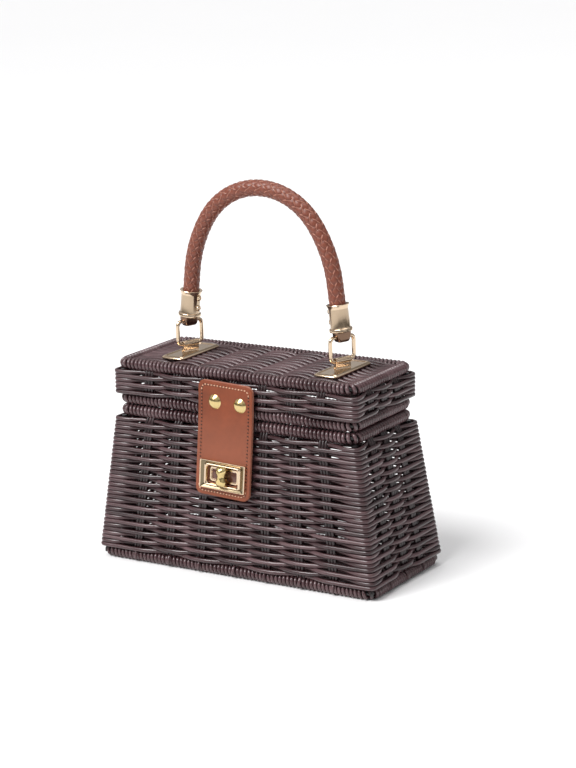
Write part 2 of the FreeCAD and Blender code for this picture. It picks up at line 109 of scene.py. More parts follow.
# ---- Settings ----


class CaneSettings(PropertyGroup):
    strand: size(0.0026, "Strand", "Thickness of a woven strand")
    strand_height: size(0.0029, "Strand height", "Height of a woven strand, across its row")
    wrap_strand: size(0.0025, "Wrap strand", "Diameter of the strand wound round the rims")
    wrap_pitch: size(0.0030, "Wrap pitch", "From one turn of the rims' strand to the next")
    stake: size(0.0023, "Stake", "Diameter of an upright stake")
    stake_gap: size(0.0022, "Stake gap", "Between the stakes of one group")
    stakes: count(3, "Stakes", "Stakes in a group")
    row_pitch: size(0.00287, "Row pitch", "From one row of weaving to the next")
    swing: size(0.0019, "Swing", "How far a row passes to each side of the stakes")
    back_swing: size(0.0012, "Back swing", "The same at the back and left, which are woven tighter")
    panel_swing: size(0.0016, "Panel swing", "The same in the lid's top and the floor")
    middle: size(0.0025, "Middle", "From the rims' centre line out to the middle of the wall")
    corner: size(0.0046, "Corner", "Corner radius of the rims' centre line")
    row_corner: size(0.0034, "Row corner", "Radius at which a row turns the corner")
    front_bays: count(8, "Front bays", "Bays between stakes along the front and back")
    side_bays: count(4, "Side bays", "Bays between stakes along each end")
    hook_reach: size(0.0042, "Hook reach", "From a rim's middle out to a stake's hooked end")
    wander: size(0.00013, "Wander", "How far a strand strays from its row")
    seed: count(7, "Seed", "Seed of the strands' unevenness")
    tint: colour((0.062, 0.027, 0.030), "Cane", "Colour of the dyed cane")
    pale: colour((0.150, 0.090, 0.096), "Pale cane", "Colour where the dye is thin")
    dark: colour((0.018, 0.0065, 0.0078), "Dark cane", "Colour where the dye is thick")


class LeatherSettings(PropertyGroup):
    tan: colour((0.235, 0.055, 0.021), "Tan", "Colour of the tab's leather")
    # Painted glare: a paler colour laid over the tab's middle band, standing in for the reflection of the studio
    # there, and the height of that band.
    burnished: colour((0.33, 0.125, 0.078), "Burnished", "Colour where the tab's middle is rubbed")
    burnish_height: size(0.080, "Burnish height", "Height of the tab's rubbed middle")
    edge: colour((0.42, 0.17, 0.115), "Edge", "Colour of the leather's painted edge")
    thread: colour((0.85, 0.48, 0.31), "Thread", "Colour of the thread across the tab")
    side_thread: colour((0.40, 0.12, 0.06), "Side thread", "Colour of the thread down the sides")
    # Painted shade: the near-black colour of the pieces set in the stitch holes.
    hole: colour((0.020, 0.004, 0.002), "Stitch holes", "Colour in the stitches' holes")
    end_inset: size(0.0028, "End inset", "From the tab's top and bottom edges to the stitching")
    side_inset: size(0.0029, "Side inset", "From the tab's sides to the stitching")
    stitch_pitch: size(0.0023, "Stitch pitch", "From one stitch to the next")
    lean: angle(2.5, "Lean", "How far the tab leans to one side")
    corner: size(0.005, "Corner", "Corner radius of the tab")
    tab_width: size(0.042, "Tab width", "Width of the tab")
    tab_drop: size(0.077, "Tab drop", "From the tab's top edge to its bottom edge")
    rivet_drop: size(0.0138, "Rivet drop", "From the tab's top edge down to the rivets")
    rivet_offset: size(0.0016, "Rivet offset", "The rivets' middle, right of the tab's")
    braid_light: colour((0.190, 0.053, 0.030), "Braid", "Colour of the plaited leather")
    braid_edge: colour((0.42, 0.18, 0.12), "Braid edges", "Colour along the cut edges of a strap")
    # Painted shade deep in the plait, not a colour of the leather itself.
    braid_dark: colour((0.090, 0.020, 0.013), "Braid gaps", "Colour deep in the plait")


class HandleSettings(PropertyGroup):
    top_bend: size(0.050, "Top bend", "Radius of the bend across the top")
    side_bend: size(0.084, "Side bend", "Radius of the bend down each side")
    shoulder: angle(56, "Shoulder", "Where the top bend meets the side bend")
    lean: angle(7, "Leg lean", "How far the straight legs lean")
    leg: size(0.029, "Leg", "Straight part of each leg, down to the ferrule's socket")
    pairs: count(6, "Pairs", "Straps wound each way")
    pitch: size(0.046, "Pitch", "Length along the handle of a strap's full turn")
    strap_width: size(0.0054, "Strap width", "Width of one strap")
    strap_thickness: size(0.0019, "Strap thickness", "Thickness of one strap")
    weave: size(0.00052, "Weave", "How far a strap rises and dips")
    step: size(0.00085, "Step", "Between the points of a strap")
    cord: colour((0.6, 0.55, 0.45), "Cord", "Colour of the cord inside the plait")


class MetalSettings(PropertyGroup):
    gold: colour((0.76, 0.59, 0.42), "Pale gold", "Colour of the plated fittings")
    yellow_gold: colour((0.70, 0.54, 0.25), "Yellow gold", "Colour of the toggle and the rivets")
    # Painted dark reflection: the ferrules' barrels get a darker gold than the plating elsewhere.
    brushed: colour((0.52, 0.40, 0.28), "Brushed gold", "Colour of the ferrules' barrels")
    # Painted dark reflection: the colour of the window plate's sloping face, far darker than the plating.
    satin: colour((0.22, 0.175, 0.11), "Satin gold", "Colour of the plate's brushed slope")
    bronze: colour((0.20, 0.125, 0.085), "Bronze", "Colour of the lugs")
    lacquer: colour((0.115, 0.042, 0.028), "Lacquer", "Colour of the lock's base")
    wire: colour((0.022, 0.019, 0.020), "Wire", "Colour of the frame's wire")
    ring_yaw: angle(20, "Ring turn", "How far the rings stand turned out of line")


class StudioSettings(PropertyGroup):
    azimuth: angle(32.852, "Azimuth", "Where the camera stands round the bag")
    elevation: angle(15.054, "Elevation", "How far the camera looks down")
    roll: angle(-1.864, "Roll", "Turn of the camera about its view")
    distance: size(1.563, "Distance", "From the camera to its target")
    aim_height: size(0.090, "Aim height", "Height of the camera's target")
    lens: plain(109.7, "Lens", "Focal length in millimetres")
    shift_x: plain(0.0297, "Shift X", "Sideways shift of the frame")
    shift_y: plain(0.0611, "Shift Y", "Upward shift of the frame")
    floor: colour((0.86, 0.86, 0.86), "Floor", "Colour of the floor")
    ambient: plain(0.70, "Ambient", "Strength of the light from all round")
    sun: plain(2.7, "Sun", "Strength of the even light from the front left")
    sun_angle: angle(30, "Sun's width", "How wide the even light's source is")
    key: plain(13.0, "Key", "Power of the lamp at the front left, in watts")
    fill: plain(0.3, "Fill", "Power of the lamp on the other side, in watts")
    top: plain(11.0, "Top", "Power of the lamp overhead, in watts")


# ---- Node trees as expressions ----


class Flow:
    """A node's output. Arithmetic on numbers adds Math nodes, on vectors Vector Math nodes."""

    def __init__(self, graph, socket):
        self.graph = graph
        self.socket = socket

    def _math(self, operation, *terms):
        return self.graph.node("ShaderNodeMath", {"operation": operation}, dict(enumerate(terms)))

    def _vector(self, operation, *terms):
        settings = {"operation": operation}
        return self.graph.node("ShaderNodeVectorMath", settings, dict(enumerate(terms)))

    def _pick(self, operation, *terms):
        if self.socket.type == "VECTOR":
            return self._vector(operation, *terms)
        return self._math(operation, *terms)

    def __add__(self, other):
        return self._pick("ADD", self, other)

    __radd__ = __add__

    def __sub__(self, other):
        return self._pick("SUBTRACT", self, other)

    def __rsub__(self, other):
        return self._pick("SUBTRACT", other, self)

    def __mul__(self, other):
        if self.socket.type == "VECTOR":
            settings = {"operation": "SCALE"}
            return self.graph.node("ShaderNodeVectorMath", settings, {0: self, "Scale": other})
        return self._math("MULTIPLY", self, other)

    __rmul__ = __mul__

    def __truediv__(self, other):
        return self._math("DIVIDE", self, other)

    def sine(self):
        return self._math("SINE", self)

    def cosine(self):
        return self._math("COSINE", self)

    def whole(self):
        return self._math("FLOOR", self)

    def clipped(self):
        settings = {"operation": "ADD", "use_clamp": True}
        return self.graph.node("ShaderNodeMath", settings, {0: self, 1: 0.0})

    def cross(self, other):
        return self._vector("CROSS_PRODUCT", self, other)

    def other(self, name):
        """Another output of the same node."""
        return Flow(self.graph, self.socket.node.outputs[name])


class Graph:
    """Adds nodes to a tree, each with its settings first and its sockets' values or links after."""

    def __init__(self, tree):
        self.tree = tree

    def node(self, kind, settings=None, inputs=None, output=None):
        made = self.tree.nodes.new(kind)
        for name, value in (settings or {}).items():
            if name == "stops":
                self._stops(made.color_ramp, value)
            else:
                setattr(made, name, value)
        for name, value in (inputs or {}).items():
            if isinstance(value, Flow):
                self.tree.links.new(value.socket, made.inputs[name])
            else:
                made.inputs[name].default_value = value
        if output is not None:
            return Flow(self, made.outputs[output])
        shown = [socket for socket in made.outputs if socket.enabled]
        return Flow(self, shown[0]) if shown else made

    def _stops(self, ramp, stops):
        while len(ramp.elements) < len(stops):
            ramp.elements.new(1.0)
        for element, (place, shade) in zip(ramp.elements, stops):
            element.position = place
            element.color = (*shade[:3], 1)

    def mix(self, share, first, second):
        """Between two colours."""
        settings = {"data_type": "RGBA"}
        inputs = {"Factor": share, 6: solid(first), 7: solid(second)}
        return self.node("ShaderNodeMix", settings, inputs, output=2)

    def noise(self, place, scale, detail=3.0, roughness=0.55):
        inputs = {"Vector": place, "Scale": scale, "Detail": detail, "Roughness": roughness}
        return self.node("ShaderNodeTexNoise", None, inputs, output=0)

    def vector(self, x, y, z):
        return self.node("ShaderNodeCombineXYZ", None, {0: x, 1: y, 2: z})

    def attribute(self, name, output="Fac"):
        return self.node("ShaderNodeAttribute", {"attribute_name": name}, output=output)

    def place(self):
        return self.node("ShaderNodeTexCoord", output="Object")


def solid(value):
    return value if isinstance(value, Flow) else (*value[:3], 1)


class Finish(Graph):
    """A material under construction, round one Principled shader."""

    def __init__(self, name, **constants):
        self.material = bpy.data.materials.new(name)
        self.material.use_nodes = True
        super().__init__(self.material.node_tree)
        self.shader = self.tree.nodes["Principled BSDF"]
        for socket, value in constants.items():
            self.shader.inputs[socket.replace("_", " ")].default_value = value

    def wear(self, **flows):
        """Feeds the shader's sockets with what varies over the surface."""
        for socket, value in flows.items():
            self.tree.links.new(value.socket, self.shader.inputs[socket.replace("_", " ")])
        return self

    def relief(self, height, depth):
        """Small bumps of the given depth where height goes from 0 to 1."""
        inputs = {"Height": height, "Distance": depth, "Strength": 1.0}
        return self.wear(Normal=self.node("ShaderNodeBump", None, inputs))


# ---- Finishes ----


def cane_finish(name, settings, tone, coat=0.35, haze=0.0):
    """Dyed cane with fibres along the strand, darker or paler by strand and by tone."""
    f = Finish(name, IOR=1.48, Coat_Weight=coat, Coat_Roughness=0.14)
    along = f.attribute("along")
    around = f.attribute("around", "Vector")
    own = f.attribute("tone")
    split = f.node("ShaderNodeSeparateXYZ", None, {0: around})
    fibre_place = f.vector(
        along * 90 + own * 37, split * 2.6 + own * 11, split.other("Y") * 2.6 + own * 5
    )
    fibres = f.noise(fibre_place, 2.2, detail=4.0, roughness=0.7)
    streaks = f.noise(f.vector(along * 22 + own * 19, split + own, split.other("Y")), 1.6)
    patches = f.noise(f.place(), 42.0, detail=2.0)
    depth = (fibres * 0.55 + streaks * 0.75 + patches * 0.5 + own * 0.34 + (tone - 0.58)).clipped()
    shade = f.node("ShaderNodeValToRGB", {"stops": [
        (0.18, settings.dark), (0.52, settings.tint), (0.95, settings.pale),
    ]}, {0: depth})
    f.wear(Base_Color=shade, Roughness=0.20 + haze + fibres * 0.14 + patches * 0.08)
    return f.relief(fibres, 0.00006).material


def leather_finish(name, settings, tan):
    """Smooth leather: soft mottling, fine pores, and a painted glare: a paler band across the middle that stands
    in for a reflection.
    """
    f = Finish(name, IOR=1.36)
    place = f.place()
    cloud = f.noise(place, 38.0, detail=3.0)
    mottle = f.noise(place, 260.0, detail=4.0)
    pores = f.node("ShaderNodeTexVoronoi", {"feature": "DISTANCE_TO_EDGE"}, {
        "Vector": place, "Scale": 1500.0,
    })
    deep = tuple(channel * 0.55 for channel in tan)
    light = tuple(min(1.0, channel * 1.15) for channel in tan)
    shade = f.mix((cloud * 1.5 + mottle * 0.45 - 0.50).clipped(), deep, light)
    # Painted glare: the band round burnish_height is mixed towards a paler colour in place of a reflection across
    # the tab's middle.
    height = f.node("ShaderNodeSeparateXYZ", None, {0: place}, output="Z")
    fall = 30
    off_middle = (height - settings.burnish_height) * fall
    glare_share = (1 - off_middle * off_middle).clipped() * 0.35
    shade = f.mix(glare_share, shade, settings.burnished)
    f.wear(Base_Color=shade, Roughness=0.34 + mottle * 0.16)
    return f.relief(pores * 0.8 + mottle * 0.5, 0.00005).material


def braid_finish(name, settings):
    """Plaited leather straps with painted shade beside the crown, where they dip into the plait, and pale along
    their cut edges.
    """
    f = Finish(name, IOR=1.46)
    along = f.attribute("along")
    around = f.attribute("around", "Vector")
    crown = f.node("ShaderNodeSeparateXYZ", None, {0: around})
    across = crown.other("Y")
    own = f.attribute("tone")
    grain = f.noise(f.vector(along * 240 + own * 13, across * 2.2, crown), 1.4, detail=4.0)
    creases = f.noise(f.vector(along * 1400, across * 3.0, own * 9), 1.0, detail=2.0)
    # Painted shade: each strap is darker towards its sides, where it dips under its neighbours, and lit at its
    # crown.
    painted_crown_light = (1 - across * across * 1.05 + grain * 0.5 - 0.28).clipped()
    cut = (across * across * 6 - 3.1 - grain * 0.6).clipped()
    face = f.mix(painted_crown_light, settings.braid_dark, settings.braid_light)
    shade = f.mix(cut * 0.75, face, settings.braid_edge)
    f.wear(Base_Color=shade, Roughness=0.28 + grain * 0.2)
    return f.relief(grain * 0.6 + creases * 0.4, 0.00012).material


def thread_finish(name, shade):
    """Twisted thread or cord, with painted shade between its plies."""
    f = Finish(name, IOR=1.45)
    place = f.place()
    ply = f.node("ShaderNodeTexWave", {"bands_direction": "DIAGONAL"}, {
        "Vector": place, "Scale": 900.0, "Distortion": 0.4,
    })
    worn = f.noise(place, 900.0)
    dark = tuple(channel * 0.55 for channel in shade)
    lit = (ply * 0.6 + worn * 0.4).clipped()
    f.wear(Base_Color=f.mix(lit, dark, shade), Roughness=0.5 + ply * 0.2)
    return f.relief(ply, 0.00008).material


def metal_finish(name, shade, polish, metallic=1.0, coat=0.0, ribs=0.0):
    """Plated or painted metal: nearly even, with faint haze and fine scratches, or with ribs."""
    f = Finish(name, Metallic=metallic, Coat_Weight=coat, Coat_Roughness=0.12)
    place = f.place()
    haze = f.noise(place, 120.0, detail=3.0)
    scratches = f.noise(f.node("ShaderNodeMapping", None, {
        "Vector": place, "Rotation": (0.3, 0.5, 0.7), "Scale": (90.0, 1700.0, 1300.0),
    }), 1.0, detail=2.0)
    dull = tuple(channel * 0.86 for channel in shade)
    f.wear(Base_Color=f.mix(haze, dull, shade), Roughness=polish + haze * 0.07 + scratches * 0.05)
    if not ribs:
        return f.relief(scratches, 0.000008).material
    across = {"bands_direction": "Y"}
    ridges = f.node("ShaderNodeTexWave", across, {"Vector": place, "Scale": ribs})
    return f.relief(ridges, 0.00012).material


def floor_finish(name, settings):
    f = Finish(name, IOR=1.3)
    cloud = f.noise(f.place(), 1.4, detail=2.0)
    dim = tuple(channel * 0.985 for channel in settings.floor)
    f.wear(Base_Color=f.mix(cloud, dim, settings.floor), Roughness=0.75 + cloud * 0.1)
    return f.material


_finishes = {}


def finish(name):
    """One material of each kind, made when it is first asked for."""
    if name not in _finishes:
        scene = bpy.context.scene
        cane, leather, metal = scene.bag_cane, scene.bag_leather, scene.bag_metal
        makers = {
            "cane_weave": (cane_finish, cane, 0.0),
            "cane_wrap": (cane_finish, cane, 0.14),
            "cane_panel": (cane_finish, cane, 0.03, 0.15, 0.08),
            # The stakes' cane is made much darker: painted shade for the gaps between the rows, where the stakes
            # show through.
            "cane_stake": (cane_finish, cane, -0.42),
            "leather": (leather_finish, leather, leather.tan),
            "leather_edge": (leather_finish, leather, leather.edge),
            "braid": (braid_finish, leather),
            "thread": (thread_finish, leather.thread),
            "side_thread": (thread_finish, leather.side_thread),
            # The holes' finish is painted shade inside the stitch holes.
            "hole": (thread_finish, leather.hole),
            "cord": (thread_finish, scene.bag_handle.cord),
            "gold": (metal_finish, metal.gold, 0.13),
            "ribbed_gold": (metal_finish, metal.gold, 0.16, 1.0, 0.0, 450.0),
            # The barrels' ribs are real brushing; their darker gold is a painted dark reflection.
            "brushed_gold": (metal_finish, metal.brushed, 0.16, 1.0, 0.0, 140.0),
            # The plate's slope: a painted dark reflection in a darker gold.
            "satin_gold": (metal_finish, metal.satin, 0.17),
            "yellow_gold": (metal_finish, metal.yellow_gold, 0.12),
            "dark_gold": (metal_finish, metal.bronze, 0.17),
            "lock_base": (metal_finish, metal.lacquer, 0.22, 0.35, 0.6),
            "wire": (metal_finish, metal.wire, 0.32, 0.2, 0.4),
            "floor": (floor_finish, scene.bag_studio),
        }
        maker, *settings = makers[name]
        _finishes[name] = maker(name, *settings)
    return _finishes[name]


# ---- Geometry Nodes ----


def new_tree(name, **sockets):
    """A Geometry Nodes tree with its named inputs, and the lines that it is given as curves."""
    tree = bpy.data.node_groups.new(name, "GeometryNodeTree")
    face = tree.interface
    face.new_socket("Geometry", in_out="INPUT", socket_type="NodeSocketGeometry")
    for label, kind in sockets.items():
        label = label.replace("_", " ")
        face.new_socket(label, in_out="INPUT", socket_type="NodeSocket" + kind)
    face.new_socket("Material", in_out="INPUT", socket_type="NodeSocketMaterial")
    face.new_socket("Geometry", in_out="OUTPUT", socket_type="NodeSocketGeometry")
    graph = Graph(tree)
    entry = tree.nodes.new("NodeGroupInput")
    given = {
        socket.name.replace(" ", "_"): Flow(graph, socket)
        for socket in entry.outputs if socket.name
    }
    return graph, given, graph.node("GeometryNodeMeshToCurve", None, {0: given["Geometry"]})


def close_tree(graph, mesh, given):
    """Ends a tree with real mesh and its material."""
    smooth = graph.node("GeometryNodeSetShadeSmooth", None, {0: mesh})
    real = graph.node("GeometryNodeRealizeInstances", None, {0: smooth})
    painted = graph.node("GeometryNodeSetMaterial", None, {
        0: real, "Material": given["Material"],
    })
    exit_node = graph.tree.nodes.new("NodeGroupOutput")
    graph.tree.links.new(painted.socket, exit_node.inputs[0])
    return graph.tree


def keep(graph, mesh, name, value, kind="FLOAT"):
    settings = {"data_type": kind, "domain": "POINT"}
    inputs = {0: mesh, "Name": name, "Value": value}
    return graph.node("GeometryNodeStoreNamedAttribute", settings, inputs)


def recall(graph, name, kind="FLOAT"):
    return graph.node("GeometryNodeInputNamedAttribute", {"data_type": kind}, {"Name": name})


def sheathe(graph, line, outward, given):
    """Skins curves with an oval that faces outward and marks where round it each point lies."""
    circle = graph.node("GeometryNodeCurvePrimitiveCircle", {"mode": "RADIUS"}, {
        "Resolution": given["Sides"], "Radius": 1.0,
    })
    spot = graph.node("GeometryNodeInputPosition")
    marked = keep(graph, circle, "around", spot, "FLOAT_VECTOR")
    oval = graph.vector(given["Thickness"] * 0.5, given["Width"] * 0.5, 1.0)
    profile = graph.node("GeometryNodeTransform", None, {0: marked, "Scale": oval})
    free = {"mode": "FREE"}
    turned = graph.node("GeometryNodeSetCurveNormal", free, {0: line, "Normal": outward})
    skin = graph.node("GeometryNodeCurveToMesh", None, {
        0: turned, "Profile Curve": profile, "Fill Caps": True,
    })
    return close_tree(graph, skin, given)


def coil(graph, line, turn, reach, length, tone, given):
    """Carries a curve's points out by reach, each turned about the line, and skins the coil."""
    out = graph.node("GeometryNodeInputNormal")
    ahead = graph.node("GeometryNodeInputTangent")
    spoke = out * turn.cosine() + ahead.cross(out) * turn.sine()
    marked = keep(graph, line, "along", length)
    marked = keep(graph, marked, "tone", tone)
    marked = keep(graph, marked, "spoke", spoke, "FLOAT_VECTOR")
    marked = keep(graph, marked, "reach", reach)
    held = recall(graph, "spoke", "FLOAT_VECTOR")
    carried = graph.node("GeometryNodeSetPosition", None, {
        0: marked, "Offset": held * recall(graph, "reach"),
    })
    return sheathe(graph, carried, held, given)


def skin_tree():
    """Turns lines with an outward direction into strands of oval section."""
    graph, given, line = new_tree(
        "skinned_strand", Thickness="Float", Width="Float", Sides="Int"
    )
    return sheathe(graph, line, recall(graph, "outward", "FLOAT_VECTOR"), given)


def wound_tree():
    """Winds a strand round a closed line."""
    graph, given, line = new_tree(
        "wound_strand", Turns="Int", Points_per_turn="Int", Coil_radius="Float",
        Thickness="Float", Width="Float", Sides="Int",
    )
    fine = graph.node("GeometryNodeResampleCurve", {"mode": "COUNT"}, {
        0: line, "Count": given["Turns"] * given["Points_per_turn"],
    })
    level = graph.node("GeometryNodeSetCurveNormal", {"mode": "Z_UP"}, {0: fine})
    travelled = graph.node("GeometryNodeSplineParameter", output="Factor")
    turn = travelled * given["Turns"] * FULL_TURN
    tone = (travelled * given["Turns"] * 0.37).sine() * 0.25 + 0.5
    length = travelled.other("Length")
    return coil(graph, level, turn, given["Coil_radius"], length, tone, given)


def plait_tree():
    """Plaits pairs of flat straps round a line, each over one crossing and under the next."""
    graph, given, line = new_tree(
        "plait", Pairs="Int", Pitch="Float", Step="Float", Radius="Float", Weave="Float",
        Thickness="Float", Width="Float", Sides="Int",
    )
    fine = graph.node("GeometryNodeResampleCurve", {"mode": "LENGTH"}, {
        0: line, "Length": given["Step"],
    })
    copies = graph.node("GeometryNodeDuplicateElements", {"domain": "SPLINE"}, {
        0: fine, "Amount": given["Pairs"] * 2,
    })
    number = copies.other("Duplicate Index")
    pair = (number / 2 + 0.01).whole()
    way = 1 - (number - pair * 2) * 2
    length = graph.node("GeometryNodeSplineParameter", output="Length")
    travelled = length / given["Pitch"] * FULL_TURN
    turn = way * travelled + pair / given["Pairs"] * FULL_TURN
    reach = given["Radius"] + way * given["Weave"] * (travelled * given["Pairs"]).cosine()
    return coil(graph, copies, turn, reach, length, number * 0.37, given)


def stitch_tree():
    """Sets one stitch, a short rounded bar, at every step along a line."""
    graph, given, line = new_tree("stitches", Step="Float", Length="Float", Thickness="Float")
    spaced = graph.node("GeometryNodeResampleCurve", {"mode": "LENGTH"}, {
        0: line, "Length": given["Step"],
    })
    ahead = graph.node("GeometryNodeInputTangent")
    axes = {"primary_axis": "X", "secondary_axis": "Z"}
    facing = graph.node("FunctionNodeAxesToRotation", axes, {
        0: ahead, 1: recall(graph, "outward", "FLOAT_VECTOR"),
    })
    ball = graph.node("GeometryNodeMeshUVSphere", None, {"Segments": 8, "Rings": 6, "Radius": 0.5})
    scale = graph.vector(given["Length"], given["Thickness"], given["Thickness"])
    bar = graph.node("GeometryNodeTransform", None, {0: ball, "Scale": scale})
    set_down = graph.node("GeometryNodeInstanceOnPoints", None, {
        "Points": spaced, "Instance": bar, "Rotation": facing,
    })
    return close_tree(graph, set_down, given)


_trees = {}


def grow(name, lines, maker, **values):
    """Runs a tree, made when first asked for, on lines and keeps a plain mesh object."""
    if maker not in _trees:
        _trees[maker] = maker()
    seedling = line_object(name + "_lines", lines)
    modifier = seedling.modifiers.new("grow", "NODES")
    modifier.node_group = _trees[maker]
    sockets = {
        item.name.replace(" ", "_"): item.identifier
        for item in modifier.node_group.interface.items_tree
        if item.in_out == "INPUT"
    }
    for label, value in values.items():
        modifier[sockets[label]] = value
    evaluated = seedling.evaluated_get(bpy.context.evaluated_depsgraph_get())
    mesh = bpy.data.meshes.new_from_object(evaluated)
    mesh.name = name
    bpy.data.objects.remove(seedling)
    return mesh_object(name, mesh)


# ---- Meshes ----


def mesh_object(name, mesh):
    piece = bpy.data.objects.new(name, mesh)
    bpy.context.scene.collection.objects.link(piece)
    return piece


class Line:
    """A line to skin: its points, the outward direction at each, and a tone of its own."""

    def __init__(self, points, outward, closed=False, tone=0.5):
        self.points = points
        self.outward = outward if isinstance(outward, list) else [outward] * len(points)
        self.closed = closed
        self.tone = tone


def line_object(name, lines):
    """Edges with the attributes that the trees and finishes read."""
    verts, edges, outward, along, tone = [], [], [], [], []
    for line in lines:
        first = len(verts)
        travelled = 0.0
        for k, point in enumerate(line.points):
            if k:
                travelled += (point - line.points[k - 1]).length
                edges.append((first + k - 1, first + k))
            verts.append(point)
            outward.extend(line.outward[k])
            along.append(travelled)
            tone.append(line.tone)
        if line.closed:
            edges.append((len(verts) - 1, first))
    mesh = bpy.data.meshes.new(name)
    mesh.from_pydata(verts, edges, [])
    mesh.attributes.new("outward", "FLOAT_VECTOR", "POINT").data.foreach_set("vector", outward)
    mesh.attributes.new("along", "FLOAT", "POINT").data.foreach_set("value", along)
    mesh.attributes.new("tone", "FLOAT", "POINT").data.foreach_set("value", tone)
    return mesh_object(name, mesh)


def rounded_loop(half_x, half_y, radius, z=0.0, steps=5):
    """Points round a rectangle with round corners, from the first corner anticlockwise."""
    radius = min(radius, half_x, half_y)
    points = []
    for sx, sy, start in ((1, 1, 0), (-1, 1, 90), (-1, -1, 180), (1, -1, 270)):
        for k in range(steps + 1):
            a = math.radians(start + 90 * k / steps)
            x = sx * (half_x - radius) + radius * math.cos(a)
            points.append(Vector((x, sy * (half_y - radius) + radius * math.sin(a), z)))
    return points


def circle_loop(radius, z, steps=36):
    turns = [FULL_TURN * k / steps for k in range(steps)]
    return [Vector((radius * math.cos(a), radius * math.sin(a), z)) for a in turns]


def placed(loops, place):
    return [[place @ spot for spot in loop] for loop in loops]


def stack(name, shells, finish_name, smooth_deg=35):
    """Closed shells, each skinned from loop to loop; a hollow one runs back to its first loop."""
    made = bmesh.new()
    for loops, hollow in shells:
        rows = [[made.verts.new(point) for point in loop] for loop in loops]
        pairs = list(zip(rows, rows[1:]))
        if hollow:
            pairs.append((rows[-1], rows[0]))
        else:
            made.faces.new(rows[0])
            made.faces.new(rows[-1])
        for low, high in pairs:
            for k in range(len(low)):
                after = (k + 1) % len(low)
                made.faces.new((low[k], low[after], high[after], high[k]))
    bmesh.ops.recalc_face_normals(made, faces=made.faces)
    mesh = bpy.data.meshes.new(name)
    made.to_mesh(mesh)
    made.free()
    return dressed(mesh_object(name, mesh), finish_name, smooth_deg)


def dressed(piece, finish_name, smooth_deg=35):
    """Gives a piece its finish, smooth but for edges sharper than the angle."""
    piece.data.materials.clear()
    piece.data.materials.append(finish(finish_name))
    if smooth_deg:
        piece.data.shade_smooth()
        piece.data.set_sharp_from_angle(angle=math.radians(smooth_deg))
    return piece


def cut_plate(name, outlines, thickness, bevel, steps=2):
    """A flat plate with its holes and rounded edges, from outlines in XY, centred on z = 0."""
    curve = bpy.data.curves.new(name, "CURVE")
    curve.dimensions = "2D"
    curve.fill_mode = "BOTH"
    curve.extrude = thickness / 2 - bevel
    curve.bevel_depth = bevel
    curve.bevel_resolution = steps
    curve.offset = -bevel
    for outline in outlines:
        spline = curve.splines.new("POLY")
        spline.points.add(len(outline) - 1)
        for point, spot in zip(spline.points, outline):
            point.co = (spot.x, spot.y, 0, 1)
        spline.use_cyclic_u = True
    maker = mesh_object(name + "_curve", curve)
    mesh = bpy.data.meshes.new_from_object(
        maker.evaluated_get(bpy.context.evaluated_depsgraph_get())
    )
    bpy.data.objects.remove(maker)
    with edited(mesh) as made:
        bmesh.ops.remove_doubles(made, verts=made.verts, dist=1e-6)
        bmesh.ops.recalc_face_normals(made, faces=made.faces)
    mesh.name = name
    return mesh


@contextmanager
def edited(mesh):
    """A mesh opened for editing, and written back afterwards."""
    made = bmesh.new()
    made.from_mesh(mesh)
    yield made
    made.to_mesh(mesh)
    made.free()


def turned_out(mesh):
    with edited(mesh) as made:
        bmesh.ops.recalc_face_normals(made, faces=made.faces)


def slice_mesh(mesh, normal, spots):
    """Adds edges where the planes at the given places cross the mesh."""
    with edited(mesh) as made:
        for spot in spots:
            everything = list(made.verts) + list(made.edges) + list(made.faces)
            bmesh.ops.bisect_plane(
                made, geom=everything, dist=1e-7, plane_co=normal * spot, plane_no=normal
            )


def moved(mesh, place):
    """Puts each point of a mesh where place sends it."""
    for vertex in mesh.vertices:
        vertex.co = place(vertex.co)
    mesh.update()
    return mesh


def settle(piece, body, slot, *nodes):
    """Says which body a piece rides on and hides the solids that it stands for; slot is not used."""
    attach(piece, body)
    if nodes:
        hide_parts(*nodes)
    return piece


# ---- Places worked out from the frame ----


class Rim:
    """A rim's centre line and its wire's radius, from the frame."""

    def __init__(self, node):
        low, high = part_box(node)
        self.wire = (high.z - low.z) / 2
        self.half_x = (high.x - low.x) / 2 - self.wire
        self.half_y = (high.y - low.y) / 2 - self.wire
        self.z = (high.z + low.z) / 2


class Wall:
    """The upright or sloping surface between two rims."""

    def __init__(self, low, high):
        self.low = low
        self.high = high

    def half_sizes(self, z):
        share = (z - self.low.z) / (self.high.z - self.low.z)
        half_x = self.low.half_x + (self.high.half_x - self.low.half_x) * share
        half_y = self.low.half_y + (self.high.half_y - self.low.half_y) * share
        return half_x, half_y


base_rim = Rim("base_rim_wire")
mouth_rim = Rim("mouth_rim_wire")
lid_rim = Rim("lid_rim_wire")
lid_top_rim = Rim("lid_top_rim_wire")
body_wall = Wall(base_rim, mouth_rim)
lid_wall = Wall(lid_rim, lid_top_rim)


loop_boxes = [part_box(node) for node in HINGE_LOOPS]


def joint(name):
    return next(j for j in frame["joints"] if j["name"] == name)


def joint_place(name):
    return Vector(joint(name)["pos_m"])


def turned_frame(centre, right, up):
    """A matrix whose axes are right, up and their cross product, at centre."""
    out = right.cross(up)
    axes = Matrix((right, up, out)).transposed()
    return Matrix.Translation(centre) @ axes.to_4x4()


def lock_frame():
    """The lock's own frame: right, up the wall and outwards, on the face of the weave."""
    lean = bpy.context.scene.bag_leather.lean
    right = Vector((math.cos(lean), 0, -math.sin(lean)))
    out = Vector(joint("toggle_turn")["axis"]).normalized()
    if out.y > 0:
        out = -out
    return turned_frame(joint_place("toggle_turn"), right, out.cross(right))


# ---- Basketry ----


def smooth_step(share, rest=0.12):
    """From 0 to 1 with a level stretch at each end."""
    share = min(1.0, max(0.0, (share - rest) / (1 - 2 * rest)))
    return (1 - math.cos(math.pi * share)) / 2


